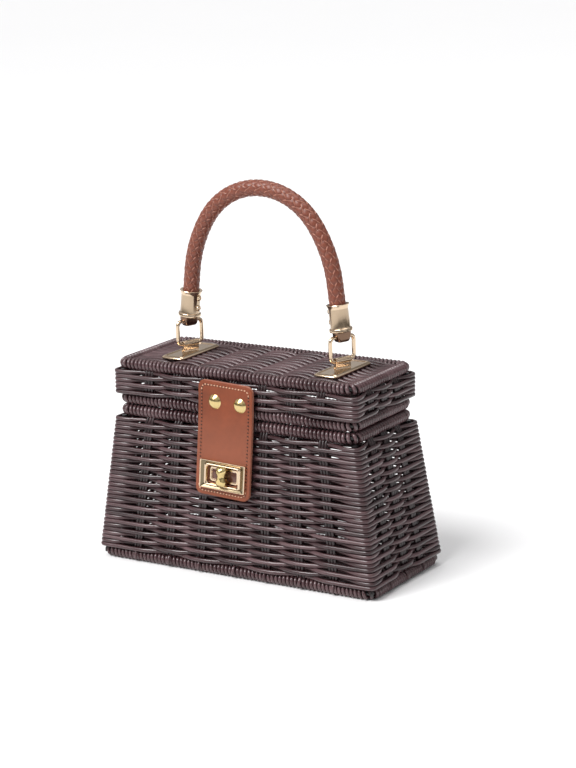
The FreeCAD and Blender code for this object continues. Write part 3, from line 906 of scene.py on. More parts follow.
def side_of(node, row, last):
    """Whether a row passes outside (1) or inside (-1) a stake; it goes outside every corner."""
    if node in (0, last):
        return 1
    return 1 if (node + row) % 2 else -1


def weave_offset(place, row, bays, side=side_of):
    """In and out position of a row, where place runs from 0 to bays."""
    node = min(bays - 1, max(0, math.floor(place)))
    first = side(node, row, bays)
    second = side(node + 1, row, bays)
    return first + (second - first) * smooth_step(place - node)


class Wander:
    """A small smooth unevenness that closes on itself once round."""

    def __init__(self, source, reach):
        self.terms = [
            (turns, source.uniform(0, FULL_TURN), reach * source.uniform(0.3, 1.0) / (1 + k))
            for k, turns in enumerate((3, 7, 13, 24))
        ]

    def at(self, share):
        return sum(a * math.sin(FULL_TURN * n * share + phase) for n, phase, a in self.terms)


def row_line(wall, z, row, cane, source, spring=None):
    """One row of weaving round a wall, starting at the back right corner."""
    half_x, half_y = wall.half_sizes(z)
    bend = cane.row_corner
    beyond = cane.middle + cane.swing - bend
    rise = Wander(source, cane.wander)
    drift = Wander(source, cane.wander)
    sides = (
        (Y, -X, half_x, half_y, cane.front_bays, cane.back_swing),
        (-X, -Y, half_y, half_x, cane.side_bays, cane.back_swing),
        (-Y, X, half_x, half_y, cane.front_bays, cane.swing),
        (X, Y, half_y, half_x, cane.side_bays, cane.swing),
    )
    outermost = cane.middle + cane.swing
    perimeter = 4 * (half_x + half_y)
    travelled = 0.0
    points, outward = [], []

    def add(ground, out, reach):
        share = travelled / perimeter
        spot = ground + out * (reach + drift.at(share)) + Z * (z + rise.at(share))
        points.append(spring(spot) if spring else spot)
        outward.append(out.copy())

    for out, ahead, half_run, half_out, bays, swing in sides:
        straight = 2 * (half_run + beyond)
        steps = max(8, round(straight / ROW_STEP))
        for k in range(steps):
            run = straight * (k / steps - 0.5)
            place = min(bays, max(0, (run / half_run + 1) / 2 * bays))
            offset = weave_offset(place, row, bays)
            add(ahead * run + out * half_out, out, outermost + (offset - 1) * swing)
            travelled += straight / steps
        for k in range(CORNER_STEPS):
            a = math.pi / 2 * k / CORNER_STEPS
            turned = out * math.cos(a) + ahead * math.sin(a)
            add(ahead * (half_run + beyond) + out * (half_out + beyond), turned, bend)
            travelled += bend * math.pi / 2 / CORNER_STEPS
    return Line(points, outward, closed=True, tone=source.uniform(0, 1))


def stake_lines(wall, cane, source):
    """Upright stakes in groups, from inside the lower rim to inside the upper one."""
    lines = []
    z_low, z_high = wall.low.z, wall.high.z
    tuck = 0.002
    rise = 0.007
    heights = [z_low + tuck, z_low + rise / 2, z_low + rise]
    steps = max(2, round((z_high - z_low) / STAKE_STEP))
    heights += [z_low + rise + (z_high - z_low - 2 * rise) * k / steps for k in range(1, steps)]
    heights += [z_high - rise, z_high - rise / 2, z_high - tuck]
    for along, out, bays in (
        (X, -Y, cane.front_bays), (X, Y, cane.front_bays),
        (Y, -X, cane.side_bays), (Y, X, cane.side_bays),
    ):
        for group in range(1, bays):
            for member in range(cane.stakes):
                shift = (member - (cane.stakes - 1) / 2) * cane.stake_gap
                shift += source.uniform(-STAKE_STRAY, STAKE_STRAY)
                points = []
                for z in heights:
                    half_x, half_y = wall.half_sizes(z)
                    half_run, half_out = (half_x, half_y) if along is X else (half_y, half_x)
                    near = min(z - z_low - tuck, z_high - tuck - z) / (rise - tuck)
                    reach = cane.middle * min(1.0, max(0.0, near))
                    run = (group / bays - 0.5) * 2 * half_run + shift
                    points.append(along * run + out * (half_out + reach) + Z * z)
                lines.append(Line(points, out, tone=source.uniform(0, 1)))
    return lines


def rim_wrap(name, rim, body, node):
    """The strand wound round a rim."""
    cane = bpy.context.scene.bag_cane
    ring = rounded_loop(rim.half_x, rim.half_y, cane.corner, rim.z, steps=12)
    length = sum((a - b).length for a, b in zip(ring, ring[1:] + ring[:1]))
    wrap = grow(
        name, [Line(ring, Z, closed=True)], wound_tree,
        Turns=round(length / cane.wrap_pitch), Points_per_turn=12,
        Coil_radius=rim.wire + cane.wrap_strand / 2, Thickness=cane.wrap_strand,
        Width=cane.wrap_strand, Sides=8, Material=finish("cane_wrap"),
    )
    settle(wrap, body, "cane", node)


def panel_lines(half_x, half_y, z, cane, source):
    """Rows along X of a flat woven panel, their ends tucked into the rim."""
    rows = round(2 * half_y / PANEL_PITCH)
    lines = []
    for row in range(rows):
        y = -half_y + (row + 0.5) * 2 * half_y / rows
        rise = Wander(source, cane.wander * 0.7)
        steps = round(2 * half_x / ROW_STEP)
        points = []
        for k in range(steps + 1):
            place = k / steps * cane.front_bays
            offset = weave_offset(place, row, cane.front_bays, panel_side)
            spot = Vector((-half_x + 2 * half_x * k / steps, y + rise.at(k / steps), z))
            points.append(spot + Z * offset * cane.panel_swing)
        lines.append(Line(points, Z, tone=source.uniform(0, 1)))
    return lines


def panel_side(node, row, last):
    """The same in a panel, where the rows run level into the rim."""
    return 0 if node in (0, last) else side_of(node, row, last)


def panel_stakes(half_x, half_y, z, cane, source):
    """Straight stakes along Y in a flat woven panel."""
    lines = []
    for group in range(1, cane.front_bays):
        for member in range(cane.stakes):
            x = (group / cane.front_bays - 0.5) * 2 * half_x
            x += (member - (cane.stakes - 1) / 2) * cane.stake_gap
            points = [Vector((x, half_y * k / 4, z)) for k in range(-4, 5)]
            lines.append(Line(points, Z, tone=source.uniform(0, 1)))
    return lines


def oval_strands(name, lines, thickness, finish_name, width=None, sides=8):
    return grow(
        name, lines, skin_tree, Thickness=thickness, Width=width or thickness, Sides=sides,
        Material=finish(finish_name),
    )


def wall_rows(wall, top_gap, bottom_gap, pitch):
    """Heights of a wall's rows, evenly spaced between the gaps left at its rims."""
    room = wall.high.z - wall.low.z - top_gap - bottom_gap
    rows = round(room / pitch) + 1
    return [wall.low.z + bottom_gap + room * k / (rows - 1) for k in range(rows)]


class BAG_OT_basket(Operator):
    """Weave the basket: rims, stakes, rows and floor"""

    bl_idname = "bag.basket"
    bl_label = "Basket"

    def execute(self, context):
        cane = context.scene.bag_cane
        source = random.Random(cane.seed)
        rim_wrap("base_rim", base_rim, "basket", "base_rim_wrap")
        rim_wrap("mouth_rim", mouth_rim, "basket", "mouth_rim_wrap")
        below_mouth = 0.0058  # Any less, and the opened lid's rim meets the top row.
        above_base = 0.0050
        heights = wall_rows(body_wall, below_mouth, above_base, cane.row_pitch)
        rows = [
            row_line(body_wall, z, k, cane, source, clear_of_loops) for k, z in enumerate(heights)
        ]
        weave = oval_strands("basket_weave", rows, cane.strand, "cane_weave", cane.strand_height)
        settle(weave, "basket", "cane", "body_weave")
        stakes = stake_lines(body_wall, cane, source)
        settle(oval_strands("basket_stakes", stakes, cane.stake, "cane_stake"), "basket", "cane")
        self.rim_hooks(cane, source)
        low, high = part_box("floor_weave")
        panel("basket_floor", low, high, cane, source, "basket", "floor_weave")
        return {"FINISHED"}

    def rim_hooks(self, cane, source):
        """Ends of stakes that hook down over the base rim, and of posts at its corners."""
        rim = base_rim
        stray = 0.0015
        hooks, stubs = [], []
        for along, out, bays, half_run, half_out in (
            (X, -Y, cane.front_bays, rim.half_x, rim.half_y),
            (X, Y, cane.front_bays, rim.half_x, rim.half_y),
            (Y, -X, cane.side_bays, rim.half_y, rim.half_x),
            (Y, X, cane.side_bays, rim.half_y, rim.half_x),
        ):
            for group in range(1, bays):
                run = (group / bays - 0.5) * 2 * half_run + source.uniform(-stray, stray)
                centre = along * run + out * half_out + Z * rim.z
                hooks.append(self.hook(centre, out, cane.hook_reach, source.uniform(0.2, 0.7)))
        inset = cane.corner * (1 - math.sqrt(0.5))
        for sx in (-1, 1):
            for sy in (-1, 1):
                out = Vector((sx, sy, 0)).normalized()
                centre = Vector((sx * (rim.half_x - inset), sy * (rim.half_y - inset), rim.z))
                stubs.append(self.hook(centre, out, cane.hook_reach * 0.9, 0.5))
        for name, lines, thickness, width, finish_name, slot in (
            ("stake_ends", hooks, 0.0019, 0.0022, "cane_wrap", "cane"),
            ("post_ends", stubs, 0.0017, 0.0024, "wire", "wire"),
        ):
            settle(oval_strands(name, lines, thickness, finish_name, width), "basket", slot)

    def hook(self, centre, out, reach, tone):
        """An arc over a rim's outer half."""
        turns = [math.radians(degrees) for degrees in range(75, -21, -10)]
        outward = [out * math.cos(a) + Z * math.sin(a) for a in turns]
        return Line([centre + spoke * reach for spoke in outward], outward, tone=tone)


def panel(name, low, high, cane, source, body, node):
    """A woven panel in the space of its solid, rows and stakes together."""
    z = (low.z + high.z) / 2
    rows = panel_lines(high.x, high.y, z, cane, source)
    stakes = panel_stakes(high.x, high.y, z, cane, source)
    thick = high.z - low.z - 2 * cane.panel_swing
    woven = oval_strands(name, rows, thick, "cane_panel")
    settle(woven, body, "cane", node)
    settle(oval_strands(name + "_stakes", stakes, cane.stake, "cane_stake"), body, "cane")


def clear_of_loops(spot):
    """Takes the top rows inwards under the hinge loops, so that the loops can turn."""
    reach, below, inwards = 0.0105, 0.003, 0.0045
    for low, high in loop_boxes:
        near = 1 - abs(spot.x - (low.x + high.x) / 2) / reach
        if spot.y > 0 and near > 0 and spot.z > low.z - below:
            spot = spot - Y * inwards * smooth_step(near, 0)
    return spot


class BAG_OT_lid(Operator):
    """Weave the lid: rims, stakes, rows, top and hinge loops"""

    bl_idname = "bag.lid"
    bl_label = "Lid"

    def execute(self, context):
        cane = context.scene.bag_cane
        source = random.Random(cane.seed + 1)
        rim_wrap("lid_rim", lid_rim, "lid", "lid_rim_wrap")
        rim_wrap("lid_top_rim", lid_top_rim, "lid", "lid_top_rim_wrap")
        from_rim = 0.0050
        heights = wall_rows(lid_wall, from_rim, from_rim, cane.row_pitch)
        rows = [row_line(lid_wall, z, k, cane, source) for k, z in enumerate(heights)]
        weave = oval_strands("lid_weave", rows, cane.strand, "cane_weave", cane.strand_height)
        settle(weave, "lid", "cane", "lid_side_weave")
        stakes = stake_lines(lid_wall, cane, source)
        settle(oval_strands("lid_stakes", stakes, cane.stake, "cane_stake"), "lid", "cane")
        low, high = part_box("lid_top_weave")
        panel("lid_top", low, high, cane, source, "lid", "lid_top_weave")
        for node, (low, high) in zip(HINGE_LOOPS, loop_boxes):
            self.hinge_loop(node, low, high, source)
        return {"FINISHED"}

    def hinge_loop(self, node, low, high, source):
        """Three turns of flat cane round both rims, side by side."""
        skin = 0.0014
        turns = 3
        arc_steps = 12
        width = (high.x - low.x) / turns
        radius = (high.y - low.y) / 2 - skin / 2
        y = (high.y + low.y) / 2
        lines = []
        for turn in range(turns):
            x = low.x + (turn + 0.5) * width
            points, outward = [], []
            for centre_z, start in ((lid_rim.z, 0), (mouth_rim.z, math.pi)):
                for k in range(arc_steps + 1):
                    a = start + math.pi * k / arc_steps
                    out = Vector((0, math.cos(a), math.sin(a)))
                    points.append(Vector((x, y, centre_z)) + out * radius)
                    outward.append(out)
            lines.append(Line(points, outward, closed=True, tone=source.uniform(0, 1)))
        loops = oval_strands(node + "_cane", lines, skin, "cane_wrap", width * 0.97, 10)
        settle(loops, "lid", "cane", node)


# ---- Tab and lock ----


def halves(node):
    """The middles of a node's left and right halves."""
    low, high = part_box(node)
    middle = (low.x + high.x) / 2
    found = []
    for side in (-1, 1):
        spots = [v.co for v in frame["nodes"][node].data.vertices if (v.co.x - middle) * side > 0]
        lows = Vector([min(s[k] for s in spots) for k in range(3)])
        highs = Vector([max(s[k] for s in spots) for k in range(3)])
        found.append((lows + highs) / 2)
    return found


class Tab:
    """The leaning tab's own frame: u to the right and v up, from its middle beside the rivets."""

    def __init__(self):
        leather = bpy.context.scene.bag_leather
        rivets = halves("tab_rivets")
        low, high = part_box("closure_tab")
        self.lean = leather.lean
        self.right = Vector((math.cos(self.lean), 0, -math.sin(self.lean)))
        self.up = Vector((math.sin(self.lean), 0, math.cos(self.lean)))
        self.middle = (rivets[0] + rivets[1]) / 2 - self.right * leather.rivet_offset
        self.thickness = 0.0025
        self.width = leather.tab_width
        self.back_y = high.y
        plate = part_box("lock_window_plate")
        plate_middle = (plate[0] + plate[1]) / 2 - self.middle
        self.window_v = plate_middle.dot(self.up)
        self.window_u = plate_middle.dot(self.right)
        self.top = leather.rivet_drop
        self.bottom = self.top - leather.tab_drop
        self.slope = (base_rim.half_y - mouth_rim.half_y) / (mouth_rim.z - base_rim.z)
        self.low_back_y = low.y + self.thickness * math.hypot(1, self.slope)

    def back(self, v):
        """The leather's back face: level with the lid, then down the sloping wall."""
        sloping = self.low_back_y + (v - self.bottom) * self.slope
        gap = sloping - self.back_y
        soft = 0.0015
        return self.back_y + (gap - math.sqrt(gap * gap + soft * soft * self.slope)) / 2

    def place(self, u, v, height):
        """A point over the leather's back face, as the leather lies."""
        spot = self.middle + self.right * u + self.up * v
        spot.y = self.back(v) - height
        return spot


class BAG_OT_tab(Operator):
    """Cut, bend, stitch and rivet the leather closing tab"""

    bl_idname = "bag.tab"
    bl_label = "Closing tab"

    def execute(self, context):
        leather = context.scene.bag_leather
        tab = Tab()
        half_v = (tab.top - tab.bottom) / 2
        middle_v = (tab.top + tab.bottom) / 2
        outline = rounded_loop(tab.width / 2, half_v, leather.corner, steps=8)
        window = rounded_loop(WINDOW_X, WINDOW_Y, 0.002, steps=4)
        shift = Vector((tab.window_u, tab.window_v - middle_v, 0))
        window = [spot + shift for spot in reversed(window)]
        mesh = cut_plate("closing_tab", [outline, window], tab.thickness, bevel=0.0006, steps=3)
        for axis, half, slices in ((Y, half_v, 26), (X, tab.width / 2, 13)):
            slice_mesh(mesh, axis, [-half + 2 * half * k / slices for k in range(1, slices)])
        moved(mesh, lambda c: tab.place(c.x, c.y + middle_v, c.z + tab.thickness / 2))
        turned_out(mesh)
        piece = dressed(mesh_object("closing_tab", mesh), "leather", 50)
        paint(piece, "leather_edge", lambda face: abs(face.normal.y) < 0.35)
        settle(piece, "lid", "leather", "closure_tab")
        self.sew(leather, tab, half_v, middle_v)
        self.rivets()
        return {"FINISHED"}

    def sew(self, leather, tab, half_v, middle_v):
        """Stitches round the tab, pale across its ends and dark down its sides."""
        corner = leather.corner - leather.end_inset * 0.6
        across = tab.width / 2 - leather.side_inset
        along = half_v - leather.end_inset
        ends = [self.end_seam(across, along, corner, end) for end in (1, -1)]
        straight = along - corner
        steps = round(2 * straight / 0.003)
        runs = [straight * (1 - 2 * k / steps) for k in range(steps + 1)]
        sides = [[Vector((side * across, run, 0)) for run in runs] for side in (-1, 1)]
        between = [late(seam, leather.stitch_pitch / 2) for seam in ends + sides]
        on_top, sunk = tab.thickness + 0.00005, tab.thickness - 0.0004
        for name, seams, height, length, thickness, shade in (
            ("tab_end_stitches", ends, on_top, 0.0015, 0.0010, "thread"),
            ("tab_side_stitches", sides, on_top - 0.0001, 0.0013, 0.0009, "side_thread"),
            # The holes are near-black pieces, painted shade inside each stitch hole.
            ("tab_stitch_holes", between, sunk, 0.0012, 0.0016, "hole"),
        ):
            lines = [
                Line([tab.place(s.x, s.y + middle_v, height) for s in seam], -Y) for seam in seams
            ]
            sewn = grow(
                name, lines, stitch_tree, Step=leather.stitch_pitch, Length=length,
                Thickness=thickness, Material=finish(shade),
            )
            settle(sewn, "lid", "leather")

    def end_seam(self, across, along, corner, end):
        """The seam across the tab's top (1) or bottom (-1), with both its corners."""
        points = []
        for side, first in ((-1, math.pi), (1, math.pi / 2)):
            middle = Vector((side * (across - corner), end * (along - corner), 0))
            for k in range(CORNER_STEPS + 1):
                a = first - math.pi / 2 * k / CORNER_STEPS
                points.append(middle + Vector((math.cos(a), end * math.sin(a), 0)) * corner)
        return points

    def rivets(self):
        """Domed rivet heads: part of a ball, on a flat foot with a small bevel."""
        low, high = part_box("tab_rivets")
        centres = halves("tab_rivets")
        radius = (high.z - low.z) / 2 - abs(centres[0].z - centres[1].z) / 2
        dome = 0.0024
        ball = (radius * radius + dome * dome) / (2 * dome)
        bevel = 0.0001
        steps = 12
        profile = [(radius * 0.6, 0), (radius - bevel, 0), (radius, bevel)]
        for k in range(1, steps):
            across = radius * (1 - k / steps)
            profile.append((across, math.sqrt(ball * ball - across * across) - ball + dome))
        loops = [circle_loop(across, z) for across, z in profile]
        shells = []
        for centre in centres:
            place = turned_frame(Vector((centre.x, low.y + dome, centre.z)), X, Z)
            shells.append((placed(loops, place), False))
        domes = stack("rivet_domes", shells, "yellow_gold", 60)
        settle(domes, "lid", "gold", "tab_rivets")


def late(points, start):
    """The same line, begun a little way along."""
    points = list(points)
    while (points[1] - points[0]).length < start:
        start -= (points[1] - points[0]).length
        points.pop(0)
    points[0] = points[0] + (points[1] - points[0]).normalized() * start
    return points


def paint(piece, finish_name, wanted):
    """Gives the wanted faces a finish of their own."""
    piece.data.materials.append(finish(finish_name))
    for face in piece.data.polygons:
        if wanted(face):
            face.material_index = 1


class BAG_OT_lock(Operator):
    """Make the turn lock: window plate, base and toggle"""

    bl_idname = "bag.lock"
    bl_label = "Turn lock"

    def execute(self, context):
        place = lock_frame()
        self.window_plate(place)
        self.base(place)
        self.toggle(place)
        return {"FINISHED"}

    def window_plate(self, place):
        """A stamped frame: a thin bright rim, a sloping face darkened with a painted dark reflection, and a
        rounded inner frame.
        """
        back, face = 0.0031, 0.0046
        slope_from, slope_to = 0.17, 0.60
        section = (
            (0.00, back), (0.00, face + 0.0005), (0.04, face + 0.0009), (0.12, face + 0.0009),
            (slope_from, face + 0.0005), (slope_to, face - 0.0005), (0.63, face + 0.0001),
            (0.70, face + 0.0006), (0.82, face + 0.0008), (0.93, face + 0.0006),
            (1.00, face), (1.00, back),
        )
        loops = []
        for share, z in section:
            wide = PLATE_X + (WINDOW_X - PLATE_X) * share
            tall = PLATE_Y + (WINDOW_Y - PLATE_Y) * share
            corner = 0.0005 + 0.0015 * share
            loops.append(rounded_loop(wide, tall, corner, z, 4))
        plate = stack("lock_window", [(placed(loops, place), True)], "gold", 25)
        to_local = place.inverted()
        out = place.to_3x3() @ Z

        # The sloping face gets the darker gold, a painted dark reflection.
        def on_slope(face_here):
            spot = to_local @ face_here.center
            share = min((PLATE_X - abs(spot.x)) / (PLATE_X - WINDOW_X),
                        (PLATE_Y - abs(spot.y)) / (PLATE_Y - WINDOW_Y))
            return slope_from < share < slope_to and face_here.normal.dot(out) > 0.3

        paint(plate, "satin_gold", on_slope)
        settle(plate, "lid", "gold", "lock_window_plate")

    def base(self, place):
        """The base plate inside the window: a plated rim round two lacquered panels."""
        flange, low, deck = 0.0003, -0.0009, 0.0025
        loops = [rounded_loop(0.016, 0.0085, 0.002, z, 4) for z in (low, flange)]
        for a, z in ((0.0, flange), (0.0, deck - 0.0003), (0.0003, deck), (0.0011, deck),
                     (0.0014, deck - 0.0005)):
            loops.append(rounded_loop(0.0111 - a, 0.0050 - a, 0.0018 - a * 0.5, z, 4))
        plate = stack("lock_plate", [(placed(loops, place), False)], "gold", 30)
        settle(plate, "basket", "lock_base", "lock_base")
        loops = [
            rounded_loop(0.0036 - a, 0.0034 - a, 0.0010, z, 4)
            for a, z in ((0.0, deck - 0.0009), (0.0, deck - 0.0004), (0.0003, deck - 0.0002))
        ]
        shells = []
        for side in (-1, 1):
            aside = Vector((side * 0.0059, 0, 0))
            shifted = [[spot + aside for spot in loop] for loop in loops]
            shells.append((placed(shifted, place), False))
        panels = stack("lock_panels", shells, "lock_base", 30)
        settle(panels, "basket", "lock_base")

    def toggle(self, place):
        """The waisted turn knob on its round post, upright as it stands when the bag is shut."""
        base = 0.0049
        post = [circle_loop(0.0025, z, 24) for z in (-0.0019, base)]
        knob = [
            self.waisted_loop(0.00425 - inset, 0.0069 - inset, 0.0016, base + rise)
            for inset, rise in ((0.0003, 0.0), (0.0, 0.0006), (0.0, 0.0018),
                                (0.0007, 0.0030), (0.0019, 0.0040), (0.0026, 0.0043))
        ]
        shells = [(placed(loops, place), False) for loops in (post, knob)]
        settle(stack("toggle_knob", shells, "yellow_gold", 22), "toggle", "gold", "lock_toggle")

    def waisted_loop(self, half_x, half_y, waist, z, steps=48):
        """A rounded bar's outline, pulled in at the middle of its long sides."""
        points = []
        for k in range(steps):
            a = FULL_TURN * k / steps
            x, y = math.cos(a), math.sin(a)
            x = math.copysign(abs(x) ** 0.55, x) * half_x
            y = math.copysign(abs(y) ** 0.7, y) * half_y
            pull = waist * math.exp(-(y / (half_y * 0.42)) ** 2) * x / half_x
            points.append(Vector((x - pull, y, z)))
        return points


# ---- Rings, plates, handle ----


def ring_axes():
    """The way a ring's bars run, and the way that is square to them and level."""
    yaw = bpy.context.scene.bag_metal.ring_yaw
    bar = Vector((math.sin(yaw), math.cos(yaw), 0))
    return bar, Z.cross(bar)


def fine_loop(points, step=0.0015):
    """More points along the straight runs of a loop."""
    made = []
    for k, spot in enumerate(points):
        run = points[(k + 1) % len(points)] - spot
        steps = max(1, round(run.length / step))
        made += [spot + run * (j / steps) for j in range(steps)]
    return made


class BAG_OT_rings(Operator):
    """Make the ring plates, tongues and wire rings"""

    bl_idname = "bag.rings"
    bl_label = "Rings and plates"

    def execute(self, context):
        bar = ring_axes()[0]
        top_z = joint_place("handle_level").z
        for side in ("left", "right"):
            foot = joint_place(side + "_ring_swing")
            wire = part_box(side + "_ring")[1].z - top_z
            self.plate(side)
            self.tongue(side, foot, bar, wire)
            self.ring(side, foot, top_z - foot.z, bar, wire * 2)
        return {"FINISHED"}

    def plate(self, side):
        """A flat plate with sloping edges and a shallow recess."""
        low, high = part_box(side + "_ring_plate")
        centre = (low + high) / 2
        half_x, half_y = (high.x - low.x) / 2, (high.y - low.y) / 2
        thick = high.z - low.z
        steps = (
            (0.0, 0.0, 0.0025), (0.0, thick * 0.35, 0.0025), (0.0003, thick * 0.6, 0.0023),
            (0.0014, thick, 0.0018), (0.0023, thick, 0.0014), (0.0028, thick - 0.0005, 0.0012),
        )
        ground = Vector((centre.x, centre.y, low.z))
        loops = [
            [spot + ground for spot in rounded_loop(half_x - a, half_y - a, r, z, 4)]
            for a, z, r in steps
        ]
        plate = stack(side + "_plate", [(loops, False)], "gold", 25)
        settle(plate, "lid", "gold", side + "_ring_plate")

    def tongue(self, side, foot, bar, wire):
        """A strap rolled round the ring's lower bar, its two ends brought down to the plate."""
        inner = wire + 0.0001
        outer = inner + 0.0007
        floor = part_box(side + "_ring_tongue")[0].z - foot.z
        length, bevel = 0.0125, 0.0002
        waist, spread = 0.0011, 0.0008
        start = math.asin(waist / outer) - math.pi / 2
        sweep = math.pi - 2 * start
        steps = 24
        arc = [start + sweep * k / steps for k in range(steps + 1)]
        profile = [Vector((waist + spread, floor, 0)), Vector((waist, floor + spread, 0))]
        profile += [Vector((outer * math.cos(a), outer * math.sin(a), 0)) for a in arc]
        profile += [Vector((-waist, floor + spread, 0)), Vector((-waist - spread, floor, 0))]
        hole = list(reversed(circle_loop(inner, 0, steps)))
        mesh = cut_plate(side + "_tongue", [profile, hole], length, bevel, steps=1)
        mesh.transform(turned_frame(foot, Z.cross(bar) * -1, Z))
        turned_out(mesh)
        piece = dressed(mesh_object(side + "_tongue", mesh), "ribbed_gold", 40)
        settle(piece, "lid", "gold", side + "_ring_tongue")

    def ring(self, side, foot, height, bar, wire):
        """A rectangular wire ring with round corners."""
        low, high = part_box(side + "_ring")
        half = (math.hypot(high.x - low.x - wire, high.y - low.y - wire)) / 2
        flat = rounded_loop(half, height / 2, 0.003, steps=8)
        centre = foot + Z * height / 2
        points = [centre + bar * s.x + Z * s.y for s in fine_loop(flat)]
        outward = [(spot - centre).normalized() for spot in points]
        line = Line(points, outward, closed=True)
        ring = oval_strands(side + "_wire_ring", [line], wire, "gold", sides=16)
        settle(ring, side + "_ring", "gold", side + "_ring")


def handle_line(handle, step=0.002):
    """The handle's centre line, left foot to right foot."""
    low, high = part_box("handle_braid")
    radius = (high.y - low.y) / 2
    middle = Vector(((low.x + high.x) / 2, (low.y + high.y) / 2, high.z - radius))
    top_centre = middle.z - handle.top_bend
    shoulder_x = handle.top_bend * math.sin(handle.shoulder)
    shoulder_z = top_centre + handle.top_bend * math.cos(handle.shoulder)
    side_x = shoulder_x - handle.side_bend * math.sin(handle.shoulder)
    side_z = shoulder_z - handle.side_bend * math.cos(handle.shoulder)
    leg_turn = math.pi / 2 - handle.lean
    leg_x = side_x + handle.side_bend * math.sin(leg_turn)
    leg_z = side_z + handle.side_bend * math.cos(leg_turn)
    down = Vector((math.sin(handle.lean), 0, -math.cos(handle.lean)))
    half = []
    for x, z, bend, start, end in (
        (0.0, top_centre, handle.top_bend, 0.0, handle.shoulder),
        (side_x, side_z, handle.side_bend, handle.shoulder, leg_turn),
    ):
        steps = round(bend * (end - start) / step)
        for k in range(steps):
            a = start + (end - start) * k / steps
            half.append(Vector((x + bend * math.sin(a), 0, z + bend * math.cos(a))))
    steps = round(handle.leg / step)
    leg = Vector((leg_x, 0, leg_z))
    half += [leg + down * (handle.leg * k / steps) for k in range(steps + 1)]
    left = [Vector((-spot.x, 0, spot.z)) for spot in reversed(half[1:])]
    ground = Vector((middle.x, middle.y, 0))
    return [spot + ground for spot in left + half], radius


class BAG_OT_handle(Operator):
    """Plait the handle and fit its ferrules"""

    bl_idname = "bag.handle"
    bl_label = "Handle"

    def execute(self, context):
        handle = context.scene.bag_handle
        points, radius = handle_line(handle)
        braid = grow(
            "braided_handle", [Line(points, -Y)], plait_tree,
            Pairs=handle.pairs, Pitch=handle.pitch, Step=handle.step,
            Radius=radius - handle.strap_thickness / 2 - handle.weave, Weave=handle.weave,
            Thickness=handle.strap_thickness, Width=handle.strap_width, Sides=12,
            Material=finish("braid"),
        )
        settle(braid, "handle", "braid", "handle_braid")
        self.lugs()
        self.ferrule("left", points[0], (points[1] - points[0]).normalized(), 1)
        self.ferrule("right", points[-1], (points[-2] - points[-1]).normalized(), -1)
        return {"FINISHED"}

    def lugs(self):
        """Dark blocks under the ferrules, narrowing to a round foot under the rings' bars."""
        bar, across = ring_axes()
        for side in ("left", "right"):
            low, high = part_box(side + "_lug")
            centre = Vector(((low.x + high.x) / 2, (low.y + high.y) / 2, low.z))
            place = turned_frame(centre, bar, across)
            tall = high.z - low.z
            widths = (
                (0.0030, 0.0016, 0.0), (0.0040, 0.0026, 0.0004), (0.0046, 0.0032, 0.0014),
                (0.0051, 0.0034, 0.0030), (0.0055, 0.0035, 0.0048), (0.0055, 0.0035, tall - 0.001),
            )
            loops = [rounded_loop(half, thick, 0.0013, z, 4) for half, thick, z in widths]
            lug = stack(side + "_block", [(placed(loops, place), False)], "dark_gold", 40)
            settle(lug, "handle", "dark_gold", side + "_lug")

    def ferrule(self, side, socket_floor, up, inwards):
        """A turned ferrule with a collar at its foot, a rolled mouth and two screws."""
        floor = 0.002
        foot = socket_floor - up * floor
        low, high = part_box(side + "_ferrule")
        outer = (high.y - low.y) / 2
        barrel = outer - 0.0011
        length = 0.018
        barrel_from, barrel_to = 0.0032, length - 0.0030
        profile = (
            (outer * 0.5, 0.0), (outer - 0.0004, 0.0), (outer, 0.0004), (outer, 0.0019),
            (outer - 0.0004, 0.0024), (barrel + 0.0002, 0.0026), (barrel, barrel_from),
            (barrel, barrel_to), (barrel + 0.0004, length - 0.0018),
            (outer - 0.0002, length - 0.0007), (outer, length - 0.0003),
            (outer - 0.0002, length), (barrel - 0.0006, length), (barrel - 0.0009, length - 0.0006),
            (barrel - 0.0009, floor),
        )
        ahead = Y.cross(up).normalized()
        place = turned_frame(foot, ahead, up.cross(ahead))
        loops = placed([circle_loop(r, z, 48) for r, z in profile], place)
        ferrule = stack(side + "_socket", [(loops, False)], "gold", 40)

        # The barrel gets ribs for brushing and a darker gold, a painted dark reflection.
        def on_barrel(face):
            return barrel_from < (face.center - foot).dot(up) < barrel_to

        paint(ferrule, "brushed_gold", on_barrel)
        settle(ferrule, "handle", "gold", side + "_ferrule")
        head = (
            (0.0019, -0.0004), (0.0020, 0.0003), (0.0018, 0.0009), (0.0012, 0.0013),
            (0.0009, 0.0013), (0.0008, 0.0009),
        )
        loops = [circle_loop(r, z, 18) for r, z in head]
        shells = []
        for height in (0.0055, 0.0124):
            centre = foot + up * height + X * inwards * barrel
            shells.append((placed(loops, turned_frame(centre, Y * inwards, up)), False))
        screws = stack(side + "_socket_screws", shells, "gold", 40)
        settle(screws, "handle", "gold", side + "_ferrule_screws")


# ---- Solids that stay, and the studio ----


class BAG_OT_frame(Operator):
    """Give the wire frame, the screws and the backing plates their finishes"""

    bl_idname = "bag.frame"
    bl_label = "Frame and fixings"

    def execute(self, context):
        slots = {part["node"]: part["material_slot"] for part in frame["record"]["subparts"]}
        stands_in = {"cane": "cane_wrap"}
        for node, piece in frame["nodes"].items():
            if not piece.hide_render:
                piece.data.materials.clear()
                piece.data.materials.append(finish(stands_in.get(slots[node], slots[node])))
        return {"FINISHED"}


